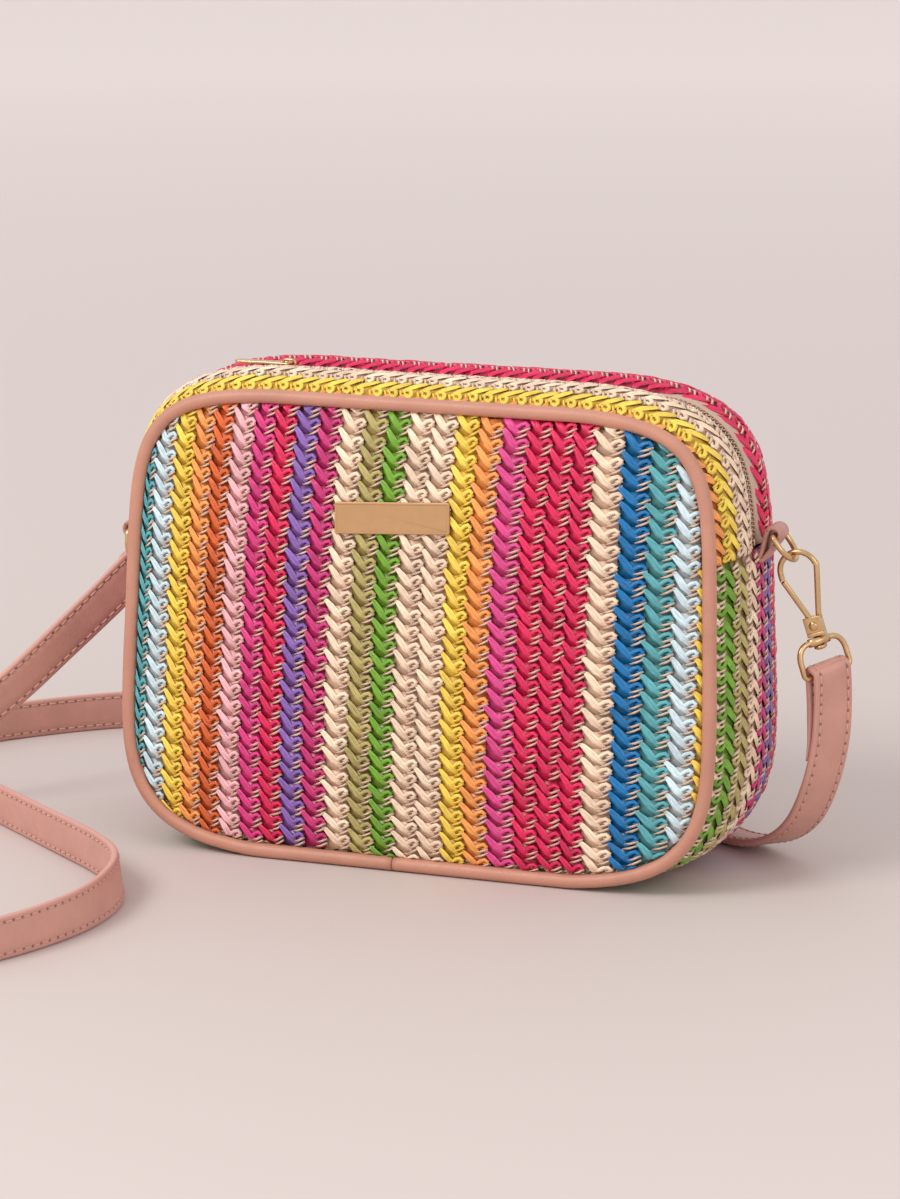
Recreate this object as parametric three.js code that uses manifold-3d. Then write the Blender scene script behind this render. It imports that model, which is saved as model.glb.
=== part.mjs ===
// A zip-top straw crossbody bag: two woven panels joined by a gusset, leather piping,
// a zip along the top, and a leather strap clipped to a ring at each end.
// Millimetres, +Z up, the front faces -Y, and the origin is on the floor under the middle of the bag.
import * as THREE from 'three';
import { mergeVertices } from 'three/addons/utils/BufferGeometryUtils.js';
import Module from 'manifold-3d';

const wasm = await Module();
wasm.setup();

// Bag body, measured between the piping centrelines
const bagWidth = 205;
const bagHeight = 156;
const bagDepth = 70; // at half height
const faceLean = 10; // each face leans in by this from base to top
const topSquareness = 5.9;
const baseSquareness = 4.6;
const sideTaper = 0.05;
const topTrim = 0.35; // flattens the top so that the zip runs straight
const baseTrim = 1; // flattens the base

// Straw cloth
const skin = 2.2;
const skinProud = 0.8; // outer face beyond the piping centreline
const panelBulge = 7;
const sideBulge = 7.5;
const topBulge = 7.3;
const baseBulge = 4;
const bulgePower = 2.4;
const seamHeight = bagHeight - 45.4; // where the zip strips meet the gusset
const seamGap = 0.3;

// Leather piping
const pipingRadius = 2.4;
const pipingLift = 0.2; // above the floor
const pipingJointX = -5.4; // where its two ends meet under the bag
const pipingJointGap = 0.5;

// Lining
const liningInset = 3.6;
const liningSheet = 0.8;

// Zip
const zipDip = 1.8; // how far the cloth sinks towards the zip
const zipDipReach = 8;
const zipMouth = 8.8; // between the two zip strips
const tapeSheet = 0.7;
const tapeReach = 10; // from the zip's middle to the tape's outer edge
const coilRadius = 0.75;
const coilSplit = 1.2; // between the two coils
const stopLength = 2.4;
const stopHeight = 1.6;
const sliderLength = 7.6;
const sliderWidth = 5.8;
const sliderPlate = 0.9;
const sliderPost = [2, 0.6];
const sliderClear = 0.5;
const sliderRestX = -58;
const bailLength = 5.4;
const bailHeight = 2.8;
const bailWidth = 1.2;
const bailWire = 0.95;
const pullLength = 20;
const pullWidth = 4.6;
const pullSheet = 0.9;
const pullBar = 1;

// Blank plate on the front
const plateLength = 40.5;
const plateWidth = 10.6;
const plateSheet = 1.2;
const plateCentre = [-5.8, bagHeight - 35.5]; // x, z
const plateTurn = 2.5; // degrees
const plateCorner = 0.8;

// Leather tabs that hold the rings
const tabWidth = 10;
const tabSheet = 1.4;
const tabLength = 9.2; // from the cloth to the tunnel's middle
const tabTunnel = 1.6; // radius

// Wire hardware
const wire = 1; // radius
const ringHalfWidth = 6.6;
const ringStraight = 3.6;
const ringCorner = 1.5;
const bowRadius = 6.3;
const pinAlong = 18.9; // from the middle of the bow
const noseAlong = 1.6;
const hookShoulder = [3.9, 9.5]; // across, along
const hookBlock = { top: 15.8, bottom: 22.4, half: 2.95, thick: 3.8 };
const slotThick = 2.1;
const slotBottom = 21.2;
const slotRight = 2.35;
const gateSheet = 1.5;
const gateTip = [-6, 3.1];
const gateHalf = 0.95;
const gateEye = 2;
const pinRadius = 0.8;
const pinHole = 1.1;
const pinHead = 1.4;
const pinHeadSheet = 0.6;
const stemRadius = 1.2;
const stemHead = [2.2, 1.3]; // radius, height
const bridge = { top: 22.8, bottom: 25.4, half: 4.2, thick: 4 };
const bridgeHole = 1.5;
const eyeHalfWidth = 8.8;
const eyeBarAlong = 35; // from the middle of the bow
const eyeCorner = 1.4;

// Strap
const strapWidth = 14;
const strapSheet = 2.6;
const strapChamfer = 0.6;
const foldBack = 32; // length doubled over at each end
const foldClear = 0.35; // between the strap and the eye's bar

const gap = 0.3; // between neighbouring pieces

// How each clasp hangs, in degrees: the tab's angle, the ring's, and where on the ring the hook sits from its
// far end; then the hook's axis and the directions of the hook's width and the strap's width
const clasps = {
  right: { side: 1, tabAngle: 58, ringTurn: 38, hookAt: 0, axis: [0.305, 0, -0.952],
    width: [0.952, 0, 0.305], across: [0.72, 0.69, 0] },
  left: { side: -1, tabAngle: -42, ringTurn: 2, hookAt: 75, axis: [-0.105, 0.978, -0.18],
    width: [-0.85, -0.05, 0.5], across: [-0.5, 0.05, 0.86] },
};

// Strap route from the right eye to the left one: [x, y, z, then the direction of its width]
const strapRoute = [
  [134.8, 0.2, 60, 0.71, 0.69, 0.12],
  [134, 0.8, 47, 0.72, 0.69, 0.02],
  [130.2, 3.6, 31.5, 0.72, 0.69, 0],
  [123, 9.6, 16.8, 0.72, 0.69, 0],
  [112, 18, 7.2, 0.7, 0.71, 0],
  [97, 30, 2.4, 0.66, 0.75, 0],
  [80, 44.5, 1.9, 0.6, 0.8, 0.05],
  [60, 60, 4.3, 0.46, 0.76, 0.4],
  [38, 74, 6.9, 0.25, 0.45, 0.85],
  [13, 87, 7.3, 0.05, 0.1, 1],
  [-25, 105, 7.2, 0, 0, 1],
  [-65, 120, 7.2, 0, 0, 1],
  [-105, 128, 7.2, 0, 0, 1],
  [-142, 122, 7.2, 0, 0, 1],
  [-172, 106, 7.2, 0, 0, 1],
  [-198, 82, 7.2, 0, 0, 1],
  [-215, 58, 7.2, 0, 0, 1],
  [-220, 34, 7.2, 0, 0, 1],
  [-209, 12, 7.2, 0, 0, 1],
  [-185, -9, 7.2, 0, 0, 1],
  [-156, -32, 7.2, 0, 0, 1],
  [-121, -59, 7.3, 0, 0.05, 1],
  [-97, -78, 7.4, -0.08, 0.12, 1],
  [-82, -95, 7.4, -0.2, 0.16, 0.95],
  [-75, -116, 7.4, -0.24, 0.02, 0.95],
  [-75, -142, 7.3, -0.12, 0, 1],
  [-85, -173, 7.2, 0, 0, 1],
  [-104, -202, 7.2, 0, 0, 1],
  [-134, -222, 7.2, 0, 0, 1],
  [-170, -226, 7.2, 0, 0, 1],
  [-206, -213, 7.2, 0, 0, 1],
  [-233, -186, 7.2, 0, 0, 1],
  [-247, -150, 7.2, 0, 0, 1],
  [-246, -113, 7.2, 0, 0, 1],
  [-231, -80, 7.4, 0, 0, 1],
  [-210, -54, 11.5, -0.15, -0.2, 1],
  [-188, -31, 21.8, -0.32, -0.38, 0.85],
  [-166.8, -8, 38.7, -0.42, -0.46, 0.78],
  [-149.5, 11, 58, -0.45, -0.43, 0.78],
  [-134, 28, 76.4, -0.48, -0.25, 0.82],
  [-130.5, 39.5, 82.5, -0.5, -0.05, 0.86],
];

const rightAngle = Math.PI / 2;
const vector = (list) => new THREE.Vector3(...list);
const mix = THREE.MathUtils.lerp;

const finishes = {
  straw: new THREE.MeshStandardMaterial({ color: '#d98a86', roughness: 0.75 }),
  leather: new THREE.MeshStandardMaterial({ color: '#c48d80', roughness: 0.55 }),
  lining: new THREE.MeshStandardMaterial({ color: '#d8c3b0', roughness: 0.9 }),
  tape: new THREE.MeshStandardMaterial({ color: '#a98578', roughness: 0.8 }),
  gold: new THREE.MeshStandardMaterial({ color: '#c9a06a', roughness: 0.3, metalness: 1 }),
};

const bag = new THREE.Group();

function addPiece(name, geometry, finish) {
  const piece = new THREE.Mesh(geometry, finishes[finish]);
  piece.name = name;
  bag.add(piece);
}

// Merges a geometry's shared corners and turns its faces outwards
function closed(geometry) {
  for (const extra of ['normal', 'uv']) geometry.deleteAttribute(extra);
  const merged = mergeVertices(geometry, 1e-4);
  const corner = [0, 1, 2].map(() => new THREE.Vector3());
  const faces = [];
  let volume = 0;
  for (let i = 0; i < merged.index.count; i += 3) {
    const ids = [0, 1, 2].map((k) => merged.index.getX(i + k));
    if (new Set(ids).size < 3) continue;
    ids.forEach((id, k) => corner[k].fromBufferAttribute(merged.attributes.position, id));
    volume += corner[0].dot(corner[1].clone().cross(corner[2]));
    faces.push(ids);
  }
  merged.setIndex((volume < 0 ? faces.map(([a, b, c]) => [a, c, b]) : faces).flat());
  return merged;
}

// Moves every corner of a plain geometry to where place() puts it
function bend(geometry, place) {
  const { position } = geometry.attributes;
  for (let i = 0; i < position.count; i += 1) {
    const spot = place(new THREE.Vector3().fromBufferAttribute(position, i));
    position.setXYZ(i, spot.x, spot.y, spot.z);
  }
  return closed(geometry);
}

function toManifold(geometry) {
  return new wasm.Manifold(new wasm.Mesh({
    numProp: 3,
    vertProperties: new Float32Array(geometry.attributes.position.array),
    triVerts: new Uint32Array(geometry.index.array),
  }));
}

function toGeometry(body) {
  const { vertProperties, triVerts } = body.getMesh();
  const geometry = new THREE.BufferGeometry();
  geometry.setAttribute('position', new THREE.BufferAttribute(vertProperties, 3));
  geometry.setIndex(new THREE.BufferAttribute(triVerts, 1));
  return geometry;
}

function join(first, ...rest) {
  return toGeometry(rest.reduce((body, next) => body.add(toManifold(next)), toManifold(first)));
}

function cut(first, ...rest) {
  return toGeometry(rest.reduce((body, next) => body.subtract(toManifold(next)), toManifold(first)));
}

function block(low, high) {
  const size = high.map((value, k) => value - low[k]);
  const middle = high.map((value, k) => (value + low[k]) / 2);
  return closed(new THREE.BoxGeometry(...size).translate(...middle));
}

// A round bar between two heights along a frame's third axis
function round(radius, from, to) {
  const bar = new THREE.CylinderGeometry(radius, radius, to - from, 10);
  return closed(bar.rotateX(rightAngle).translate(0, 0, (from + to) / 2));
}

// A flat outline given a thickness about its own plane
function plate(shape, thick, curveSegments = 8) {
  const flat = new THREE.ExtrudeGeometry(shape, { depth: thick, bevelEnabled: false, curveSegments });
  return closed(flat.translate(0, 0, -thick / 2));
}

// The closed outline that both piping cords follow, seen from the front
class Outline extends THREE.Curve {
  getPoint(t, target = new THREE.Vector3()) {
    const turn = t * 2 * Math.PI - rightAngle;
    const [across, up] = [Math.cos(turn), Math.sin(turn)];
    const power = up > 0 ? topSquareness : baseSquareness;
    const reach = (Math.abs(across) ** power + Math.abs(up) ** power) ** (-1 / power);
    const rise = (1 + reach * up) / 2;
    const x = (bagWidth / 2) * reach * across * (1 - sideTaper * (rise - 0.5));
    const height = THREE.MathUtils.clamp(rise * bagHeight, baseTrim, bagHeight - topTrim);
    return target.set(x, 0, height - baseTrim + pipingRadius + pipingLift);
  }
}

const outline = new Outline();
outline.arcLengthDivisions = 1200;
const outlineLength = outline.getLength();
const wrap = (share) => ((share % 1) + 1) % 1;
const outlineAt = (share) => outline.getPointAt(wrap(share));

function outwardAt(share) {
  const along = outline.getTangentAt(wrap(share));
  return new THREE.Vector3(along.z, 0, -along.x);
}

// The share of the outline, from the middle of the base, at which its right side reaches a height
function shareAtHeight(height) {
  let [low, high] = [0, 0.5];
  for (let pass = 0; pass < 40; pass += 1) {
    const middle = (low + high) / 2;
    if (outlineAt(middle).z < height) low = middle;
    else high = middle;
  }
  return low;
}

const baseLine = pipingRadius + pipingLift;
const halfDepth = (z) => bagDepth / 2 - faceLean * ((z - baseLine) / bagHeight - 0.5);
const seamShare = shareAtHeight(seamHeight);
const zipSink = (y) => zipDip * Math.exp(-((y / zipDipReach) ** 2));

// A point on the bulged band between the two piping cords, lifted off its outer face
function bandPoint(share, y, lift) {
  const foot = outlineAt(share);
  const out = outwardAt(share);
  const fullness = 1 - Math.abs(y / halfDepth(foot.z)) ** bulgePower;
  const bulge = mix(sideBulge, out.z > 0 ? topBulge : baseBulge, out.z ** 2);
  foot.addScaledVector(out, bulge * fullness + skinProud + lift);
  return foot.set(foot.x, y, Math.max(foot.z, -lift));
}

// A point on a domed panel, from its middle (reach 0) to its edge (reach 1)
function panelPoint(side, share, reach, lift) {
  const edge = outlineAt(share).addScaledVector(outwardAt(share), -pipingRadius - 2 * gap);
  const z = mix(bagHeight / 2, edge.z, reach);
  const dome = panelBulge * (1 - reach ** bulgePower);
  return edge.set(edge.x * reach, side * (halfDepth(z) + dome + skinProud + lift), z);
}

function addPanel(name, side) {
  const rings = [0, 0.4, 0.7, 0.88, 1];
  const outer = rings.map((reach) => new THREE.Vector2(reach, 0));
  const inner = rings.map((reach) => new THREE.Vector2(reach, -skin)).reverse();
  const disc = new THREE.LatheGeometry([...outer, ...inner], 44);
  addPiece(name, bend(disc, ({ x, y, z }) => (
    panelPoint(side, Math.atan2(x, z) / (2 * Math.PI), Math.hypot(x, z), y)
  )), 'straw');
}

// A strip of cloth or tape that follows the band; near and far give its two edges
function strip({ from, to, near, far, outer, inner, sink = () => 0, steps, rows }) {
  return bend(new THREE.BoxGeometry(1, 1, 1, steps, rows, 1), (spot) => {
    const share = mix(from, to, spot.x + 0.5);
    const y = mix(near(share), far(share), spot.y + 0.5);
    return bandPoint(share, y, mix(inner, outer, spot.z + 0.5) - sink(y));
  });
}

// A round cord bent along the outline between two shares of it
function cordAlong(from, to, radius, sides, steps, place) {
  return bend(new THREE.CylinderGeometry(radius, radius, 1, sides, steps), ({ x, y, z }) => (
    place(mix(from, to, y + 0.5), x, z)
  ));
}

const clothEdge = (side) => (share) => side * (halfDepth(outlineAt(share).z) - pipingRadius - gap);

function addCloth() {
  addPanel('front_panel', -1);
  addPanel('back_panel', 1);
  const seamHalf = seamGap / 2 / outlineLength;
  const lower = seamShare - seamHalf;
  const gusset = strip({ from: -lower, to: lower, near: clothEdge(-1), far: clothEdge(1),
    outer: 0, inner: -skin, steps: 48, rows: 5 });
  const notchHalf = tabWidth / 2 + gap;
  const notchDrop = 2 * tabSheet + gap + seamGap;
  const notches = [-1, 1].map((side) => {
    const x = side * bandPoint(seamShare, 0, 0).x;
    const reach = 3 * skin;
    const low = [x - reach, -notchHalf, seamHeight - notchDrop];
    return block(low, [x + reach, notchHalf, seamHeight + notchDrop]);
  });
  addPiece('gusset', cut(gusset, ...notches), 'straw');
  for (const [name, side] of [['zip_strip_front', -1], ['zip_strip_back', 1]]) {
    addPiece(name, strip({ from: seamShare + seamHalf, to: 1 - seamShare - seamHalf, near: clothEdge(side),
      far: () => (side * zipMouth) / 2, outer: 0, inner: -skin, sink: zipSink, steps: 32, rows: 3,
    }), 'straw');
  }
}

function addPiping() {
  const joint = pipingJointX / outlineLength;
  const half = pipingJointGap / 2 / outlineLength;
  for (const [name, side] of [['front_piping', -1], ['back_piping', 1]]) {
    const cord = cordAlong(joint + half, joint + 1 - half, pipingRadius, 7, 56, (share, across, up) => {
      const foot = outlineAt(share);
      foot.y = side * halfDepth(foot.z) + across;
      return foot.addScaledVector(outwardAt(share), up);
    });
    addPiece(name, cord, 'leather');
  }
}

// The inside of the bag as one closed pillow, inset from the cloth's outer face
function pillow(inset) {
  const panelOf = (side) => [0, 0.5, 0.8, 0.95].map((reach) => (share) => (
    panelPoint(side, share, reach, -inset)
  ));
  const band = [-0.82, -0.4, 0, 0.4, 0.82].map((part) => (share) => (
    bandPoint(share, part * halfDepth(outlineAt(share).z), -inset)
  ));
  const stations = [...panelOf(-1), ...band, ...panelOf(1).reverse()];
  const last = stations.length - 1;
  const profile = stations.map((_, k) => new THREE.Vector2(k === 0 || k === last ? 0 : 1, k));
  return bend(new THREE.LatheGeometry(profile, 28), ({ x, y, z }) => (
    stations[Math.round(y)](Math.atan2(x, z) / (2 * Math.PI))
  ));
}

function addLining() {
  const mouthHalf = tapeReach + gap;
  const mouth = block([-bagWidth, -mouthHalf, seamHeight], [bagWidth, mouthHalf, 2 * bagHeight]);
  addPiece('lining', cut(pillow(liningInset), pillow(liningInset + liningSheet), mouth), 'lining');
}

const tapeTop = -skin - 2 * gap;
const coilMiddle = tapeTop - tapeSheet / 2;
const coilY = coilSplit / 2 + coilRadius;
const zipStart = seamShare + (seamGap + gap) / outlineLength;

function addZip() {
  const stopShare = stopLength / outlineLength;
  const coilStart = zipStart + stopShare + gap / outlineLength;
  for (const [end, side] of [['front', -1], ['back', 1]]) {
    addPiece(`zip_tape_${end}`, strip({ from: zipStart, to: 1 - zipStart, near: () => side * tapeReach,
      far: () => side * (coilY + coilRadius + gap), outer: tapeTop, inner: tapeTop - tapeSheet,
      sink: zipSink, steps: 32, rows: 1 }), 'tape');
    const coil = cordAlong(coilStart, 1 - coilStart, coilRadius, 5, 36, (share, across, up) => (
      bandPoint(share, side * coilY + across, coilMiddle + up - zipSink(0))
    ));
    addPiece(`zip_coil_${end}`, coil, 'tape');
  }
  for (const [end, from] of [['right', zipStart], ['left', 1 - zipStart - stopShare]]) {
    const half = coilY + coilRadius;
    addPiece(`zip_stop_${end}`, strip({ from, to: from + stopShare, near: () => -half, far: () => half,
      outer: coilMiddle + stopHeight / 2, inner: coilMiddle - stopHeight / 2, sink: () => zipSink(0),
      steps: 2, rows: 1 }), 'gold');
  }
}

// The slider grips both coils from above and below, joined by a post between them
function addSlider() {
  const zipFace = bandPoint(0.5, 0, -zipSink(0)).z;
  const coilTop = zipFace + coilMiddle + coilRadius;
  const coilFoot = zipFace + coilMiddle - coilRadius;
  const upperFoot = coilTop + sliderClear;
  const upperTop = upperFoot + sliderPlate;
  const lowerTop = coilFoot - sliderClear;
  const [halfLength, halfWidth] = [sliderLength / 2, sliderWidth / 2];
  const slab = (halfX, halfY, from, to) => (
    block([sliderRestX - halfX, -halfY, from], [sliderRestX + halfX, halfY, to])
  );
  const upper = slab(halfLength, halfWidth, upperFoot, upperTop);
  const lower = slab(halfLength, halfWidth, lowerTop - sliderPlate, lowerTop);
  const post = slab(sliderPost[0] / 2, sliderPost[1] / 2, lowerTop - gap, upperFoot + gap);
  const bail = slab(bailLength / 2, bailWidth / 2, upperTop - gap, upperTop + bailHeight);
  const window = slab(bailLength / 2 - bailWire, bailWidth, upperTop, upperTop + bailHeight - bailWire);
  addPiece('zip_slider', cut(join(upper, lower, post, bail), window), 'gold');

  const pull = new THREE.Shape();
  const [start, end, half] = [pullBar / 2, -pullLength, pullWidth / 2];
  pull.moveTo(start, -half);
  pull.lineTo(start, half);
  pull.lineTo(end + half, half);
  pull.absarc(end + half, 0, half, rightAngle, -rightAngle, false);
  const eyeHalf = bailWidth / 2 + 2 * gap;
  const eye = new THREE.Path();
  eye.moveTo(-pullBar / 2, -eyeHalf);
  eye.lineTo(-pullBar / 2, eyeHalf);
  eye.lineTo(-pullBar / 2 - bailHeight, eyeHalf);
  eye.lineTo(-pullBar / 2 - bailHeight, -eyeHalf);
  pull.holes.push(eye);
  const hinge = upperTop + (bailHeight - bailWire) / 2;
  addPiece('zip_pull', plate(pull, pullSheet).translate(sliderRestX, 0, hinge), 'gold');
}

// The plate lies flat against the domed front
function addPlate() {
  const shape = new THREE.Shape();
  const [x, y, r] = [plateLength / 2, plateWidth / 2, plateCorner];
  shape.moveTo(-x + r, -y);
  shape.lineTo(x - r, -y);
  shape.absarc(x - r, -y + r, r, -rightAngle, 0);
  shape.lineTo(x, y - r);
  shape.absarc(x - r, y - r, r, 0, rightAngle);
  shape.lineTo(-x + r, y);
  shape.absarc(-x + r, y - r, r, rightAngle, 2 * rightAngle);
  shape.lineTo(-x, -y + r);
  shape.absarc(-x + r, -y + r, r, 2 * rightAngle, 3 * rightAngle);
  const frontAt = (px, pz) => new THREE.Raycaster(
    new THREE.Vector3(px, -2 * bagDepth, pz), new THREE.Vector3(0, 1, 0),
  ).intersectObject(bag.getObjectByName('front_panel'))[0].point;
  const [cx, cz] = plateCentre;
  const [low, high] = [frontAt(cx, cz - y), frontAt(cx, cz + y)];
  const [left, right] = [frontAt(cx - x, cz), frontAt(cx + x, cz)];
  const along = right.clone().sub(left).normalize();
  const out = along.clone().cross(high.clone().sub(low)).normalize();
  const turned = along.clone().applyAxisAngle(out, THREE.MathUtils.degToRad(plateTurn));
  const place = new THREE.Matrix4().makeBasis(turned, out.clone().cross(turned), out);
  const seat = frontAt(cx, cz).addScaledVector(out, plateSheet / 2 + gap);
  addPiece('front_plate', plate(shape, plateSheet, 3).applyMatrix4(place.setPosition(seat)), 'gold');
}

// A wire ring bent along a closed flat path
function wireRing(path, steps) {
  const reach = 10 * wire;
  return bend(new THREE.TorusGeometry(reach, wire, 7, steps), ({ x, y, z }) => {
    const share = wrap(Math.atan2(y, x) / (2 * Math.PI));
    const foot = path.getPointAt(share);
    const along = path.getTangentAt(share);
    const out = Math.hypot(x, y) - reach;
    return new THREE.Vector3(foot.x + along.y * out, foot.y - along.x * out, z);
  });
}

function roundBar(points) {
  const section = new THREE.Shape().absarc(0, 0, wire, 0, 2 * Math.PI);
  const extrudePath = new THREE.CatmullRomCurve3(points.map(([u, v]) => new THREE.Vector3(u, v, 0)));
  return closed(new THREE.ExtrudeGeometry(section, { steps: 22, curveSegments: 4, extrudePath }));
}

// The tab's tunnel holds the ring's bar, so its place follows the cloth's outer face
function tunnelOf(clasp) {
  const turn = THREE.MathUtils.degToRad(clasp.tabAngle);
  const foot = bandPoint(seamShare, 0, 0);
  const z = seamHeight - seamGap / 2 - gap / 2 - tabSheet;
  const x = foot.x + tabLength * Math.cos(turn);
  return new THREE.Vector3(clasp.side * x, 0, z + tabLength * Math.sin(turn));
}

// A leather tab: two layers through the seam, opening into a tunnel
function addTab(end, clasp) {
  const turn = THREE.MathUtils.degToRad(clasp.tabAngle);
  const loop = tabTunnel + tabSheet;
  const middle = new THREE.Vector2(tabLength * Math.cos(turn), tabLength * Math.sin(turn));
  const elbow = tabSheet * Math.tan(turn / 2);
  const shape = new THREE.Shape();
  shape.moveTo(-skin, -tabSheet);
  shape.lineTo(skin / 2 + elbow, -tabSheet);
  shape.absarc(middle.x, middle.y, loop, turn - rightAngle, turn + rightAngle);
  shape.lineTo(skin / 2 - elbow, tabSheet);
  shape.lineTo(-skin, tabSheet);
  shape.holes.push(new THREE.Path().absarc(middle.x, middle.y, tabTunnel, 0, 2 * Math.PI, true));
  const tunnel = tunnelOf(clasp);
  const tab = plate(shape, tabWidth, 10).rotateX(rightAngle);
  const origin = [tunnel.x - clasp.side * middle.x, 0, tunnel.z - middle.y];
  addPiece(`tab_${end}`, closed(tab.scale(clasp.side, 1, 1).translate(...origin)), 'leather');
}

// The ring's frame: its bar along the first axis, hanging at the edge of the tab's tunnel
function ringFrame(clasp) {
  const hang = THREE.MathUtils.degToRad(clasp.ringTurn) * clasp.side;
  const up = new THREE.Vector3(-Math.sin(hang), 0, Math.cos(hang));
  const bar = new THREE.Vector3(0, 1, 0);
  const seat = tunnelOf(clasp).addScaledVector(up, wire + gap / 2 - tabTunnel);
  return new THREE.Matrix4().makeBasis(bar, up, bar.clone().cross(up)).setPosition(seat);
}

// The middle of the hook's bow, which hangs on the round end of the ring
function bowOf(clasp) {
  const at = THREE.MathUtils.degToRad(clasp.hookAt);
  const spot = new THREE.Vector3(Math.sin(at), -Math.cos(at), 0).multiplyScalar(ringHalfWidth);
  spot.y -= ringStraight;
  const axis = vector(clasp.axis).normalize();
  return spot.applyMatrix4(ringFrame(clasp)).addScaledVector(axis, bowRadius - 2 * wire - gap);
}

function addRing(end, clasp) {
  const path = new THREE.Path();
  const [half, corner] = [ringHalfWidth, ringCorner];
  path.moveTo(-half + corner, 0);
  path.absarc(-half + corner, -corner, corner, rightAngle, 2 * rightAngle);
  path.absarc(0, -ringStraight, half, 2 * rightAngle, 4 * rightAngle);
  path.absarc(half - corner, -corner, corner, 0, rightAngle);
  path.lineTo(-half + corner, 0);
  addPiece(`d_ring_${end}`, closed(wireRing(path, 28).applyMatrix4(ringFrame(clasp))), 'gold');
}

// A frame whose second axis runs along the clasp and whose first is as near as can be to a given direction
function frameAlong(axis, near, origin) {
  const across = near.clone().addScaledVector(axis, -near.dot(axis)).normalize();
  return new THREE.Matrix4().makeBasis(across, axis, across.clone().cross(axis)).setPosition(origin);
}

const alongV = (bar) => bar.rotateX(-rightAngle); // turns a round bar to lie along the clasp

function hookGeometry() {
  const { top, bottom, half, thick } = hookBlock;
  const bow = [0, -45, -90, -135, -180].map((turn) => {
    const angle = THREE.MathUtils.degToRad(turn);
    return [bowRadius * Math.cos(angle), bowRadius * Math.sin(angle)];
  });
  const leg = roundBar([[slotRight - gap, top + wire], hookShoulder, ...bow, [-bowRadius, noseAlong]]);
  const body = block([-half, top, -thick / 2], [half, bottom, thick / 2]);
  const slot = block([-2 * half, 2 * top - bottom, -slotThick / 2], [slotRight, slotBottom, slotThick / 2]);
  const bore = round(pinHole, -thick, thick).translate(0, pinAlong, 0);
  const headTop = bridge.bottom + gap;
  const stem = alongV(round(stemRadius, bottom - gap, headTop + stemHead[1]));
  const head = alongV(round(stemHead[0], headTop, headTop + stemHead[1]));
  return join(cut(body, slot, bore), leg, stem, head);
}

function gateGeometry() {
  const pin = new THREE.Vector2(0, pinAlong);
  const tip = new THREE.Vector2(...gateTip);
  const turn = Math.atan2(tip.y - pin.y, tip.x - pin.x);
  const shape = new THREE.Shape();
  shape.absarc(tip.x, tip.y, gateHalf, turn - rightAngle, turn + rightAngle);
  const shoulder = Math.asin(gateHalf / gateEye);
  shape.absarc(pin.x, pin.y, gateEye, turn + shoulder, turn - shoulder + 2 * Math.PI);
  shape.holes.push(new THREE.Path().absarc(pin.x, pin.y, pinHole, 0, 2 * Math.PI, true));
  return plate(shape, gateSheet);
}

function pinGeometry() {
  const face = hookBlock.thick / 2 + gap / 3;
  const head = face + pinHeadSheet;
  const heads = [round(pinHead, face, head), round(pinHead, -head, -face)];
  return join(round(pinRadius, -head, head), ...heads).translate(0, pinAlong, 0);
}

function eyeGeometry() {
  const { top, bottom, half, thick } = bridge;
  const crown = (top + bottom) / 2;
  const path = new THREE.Path();
  path.moveTo(-half, crown);
  path.lineTo(half, crown);
  const [inset, drop, foot] = [eyeHalfWidth - eyeCorner, crown + 2 * eyeCorner, bottom + half];
  path.bezierCurveTo(inset, crown, eyeHalfWidth, drop, eyeHalfWidth, foot);
  path.absarc(inset, eyeBarAlong - eyeCorner, eyeCorner, 0, rightAngle);
  path.absarc(-inset, eyeBarAlong - eyeCorner, eyeCorner, rightAngle, 2 * rightAngle);
  path.lineTo(-eyeHalfWidth, foot);
  path.bezierCurveTo(-eyeHalfWidth, drop, -inset, crown, -half, crown);
  const body = block([-half, top, -thick / 2], [half, bottom, thick / 2]);
  const bore = alongV(round(bridgeHole, top - half, bottom + half));
  return cut(join(wireRing(path, 40), body), bore);
}

function addClasp(end, clasp) {
  const axis = vector(clasp.axis).normalize();
  const bow = bowOf(clasp);
  const hookFrame = frameAlong(axis, vector(clasp.width), bow);
  const eyeFrame = frameAlong(axis, vector(clasp.across), bow);
  addPiece(`hook_${end}`, closed(hookGeometry().applyMatrix4(hookFrame)), 'gold');
  addPiece(`gate_${end}`, closed(gateGeometry().applyMatrix4(hookFrame)), 'gold');
  addPiece(`gate_pin_${end}`, closed(pinGeometry().applyMatrix4(hookFrame)), 'gold');
  addPiece(`eye_${end}`, closed(eyeGeometry().applyMatrix4(eyeFrame)), 'gold');
}

// Points of a strap end: the doubled length, then the turn round the eye's bar
function strapEnd(clasp, next) {
  const axis = vector(clasp.axis).normalize();
  const bar = bowOf(clasp).addScaledVector(axis, eyeBarAlong);
  const across = new THREE.Vector3().setFromMatrixColumn(frameAlong(axis, vector(clasp.across), bar), 0);
  const along = next[0].clone().sub(bar);
  along.addScaledVector(across, -along.dot(across)).normalize();
  const inward = across.clone().cross(along).multiplyScalar(clasp.side);
  const radius = wire + foldClear + strapSheet / 2;
  const turn = [0, 45, 90, 135, 180].map((degrees) => {
    const angle = THREE.MathUtils.degToRad(degrees);
    const spot = bar.clone().addScaledVector(inward, radius * Math.cos(angle));
    return [spot.addScaledVector(along, -radius * Math.sin(angle)), across];
  });
  const main = new THREE.CatmullRomCurve3([turn[4][0], ...next], false, 'catmullrom');
  const doubled = [1, 0.75, 0.5, 0.25].map((part) => {
    const share = (part * foldBack) / main.getLength();
    const apart = mix(2 * radius, strapSheet + gap, Math.min(1, part * 1.3));
    const tangent = main.getTangentAt(share);
    const side = across.clone().cross(tangent).multiplyScalar(clasp.side).normalize();
    return [main.getPointAt(share).addScaledVector(side, apart), across];
  });
  return [...doubled, ...turn];
}

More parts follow.
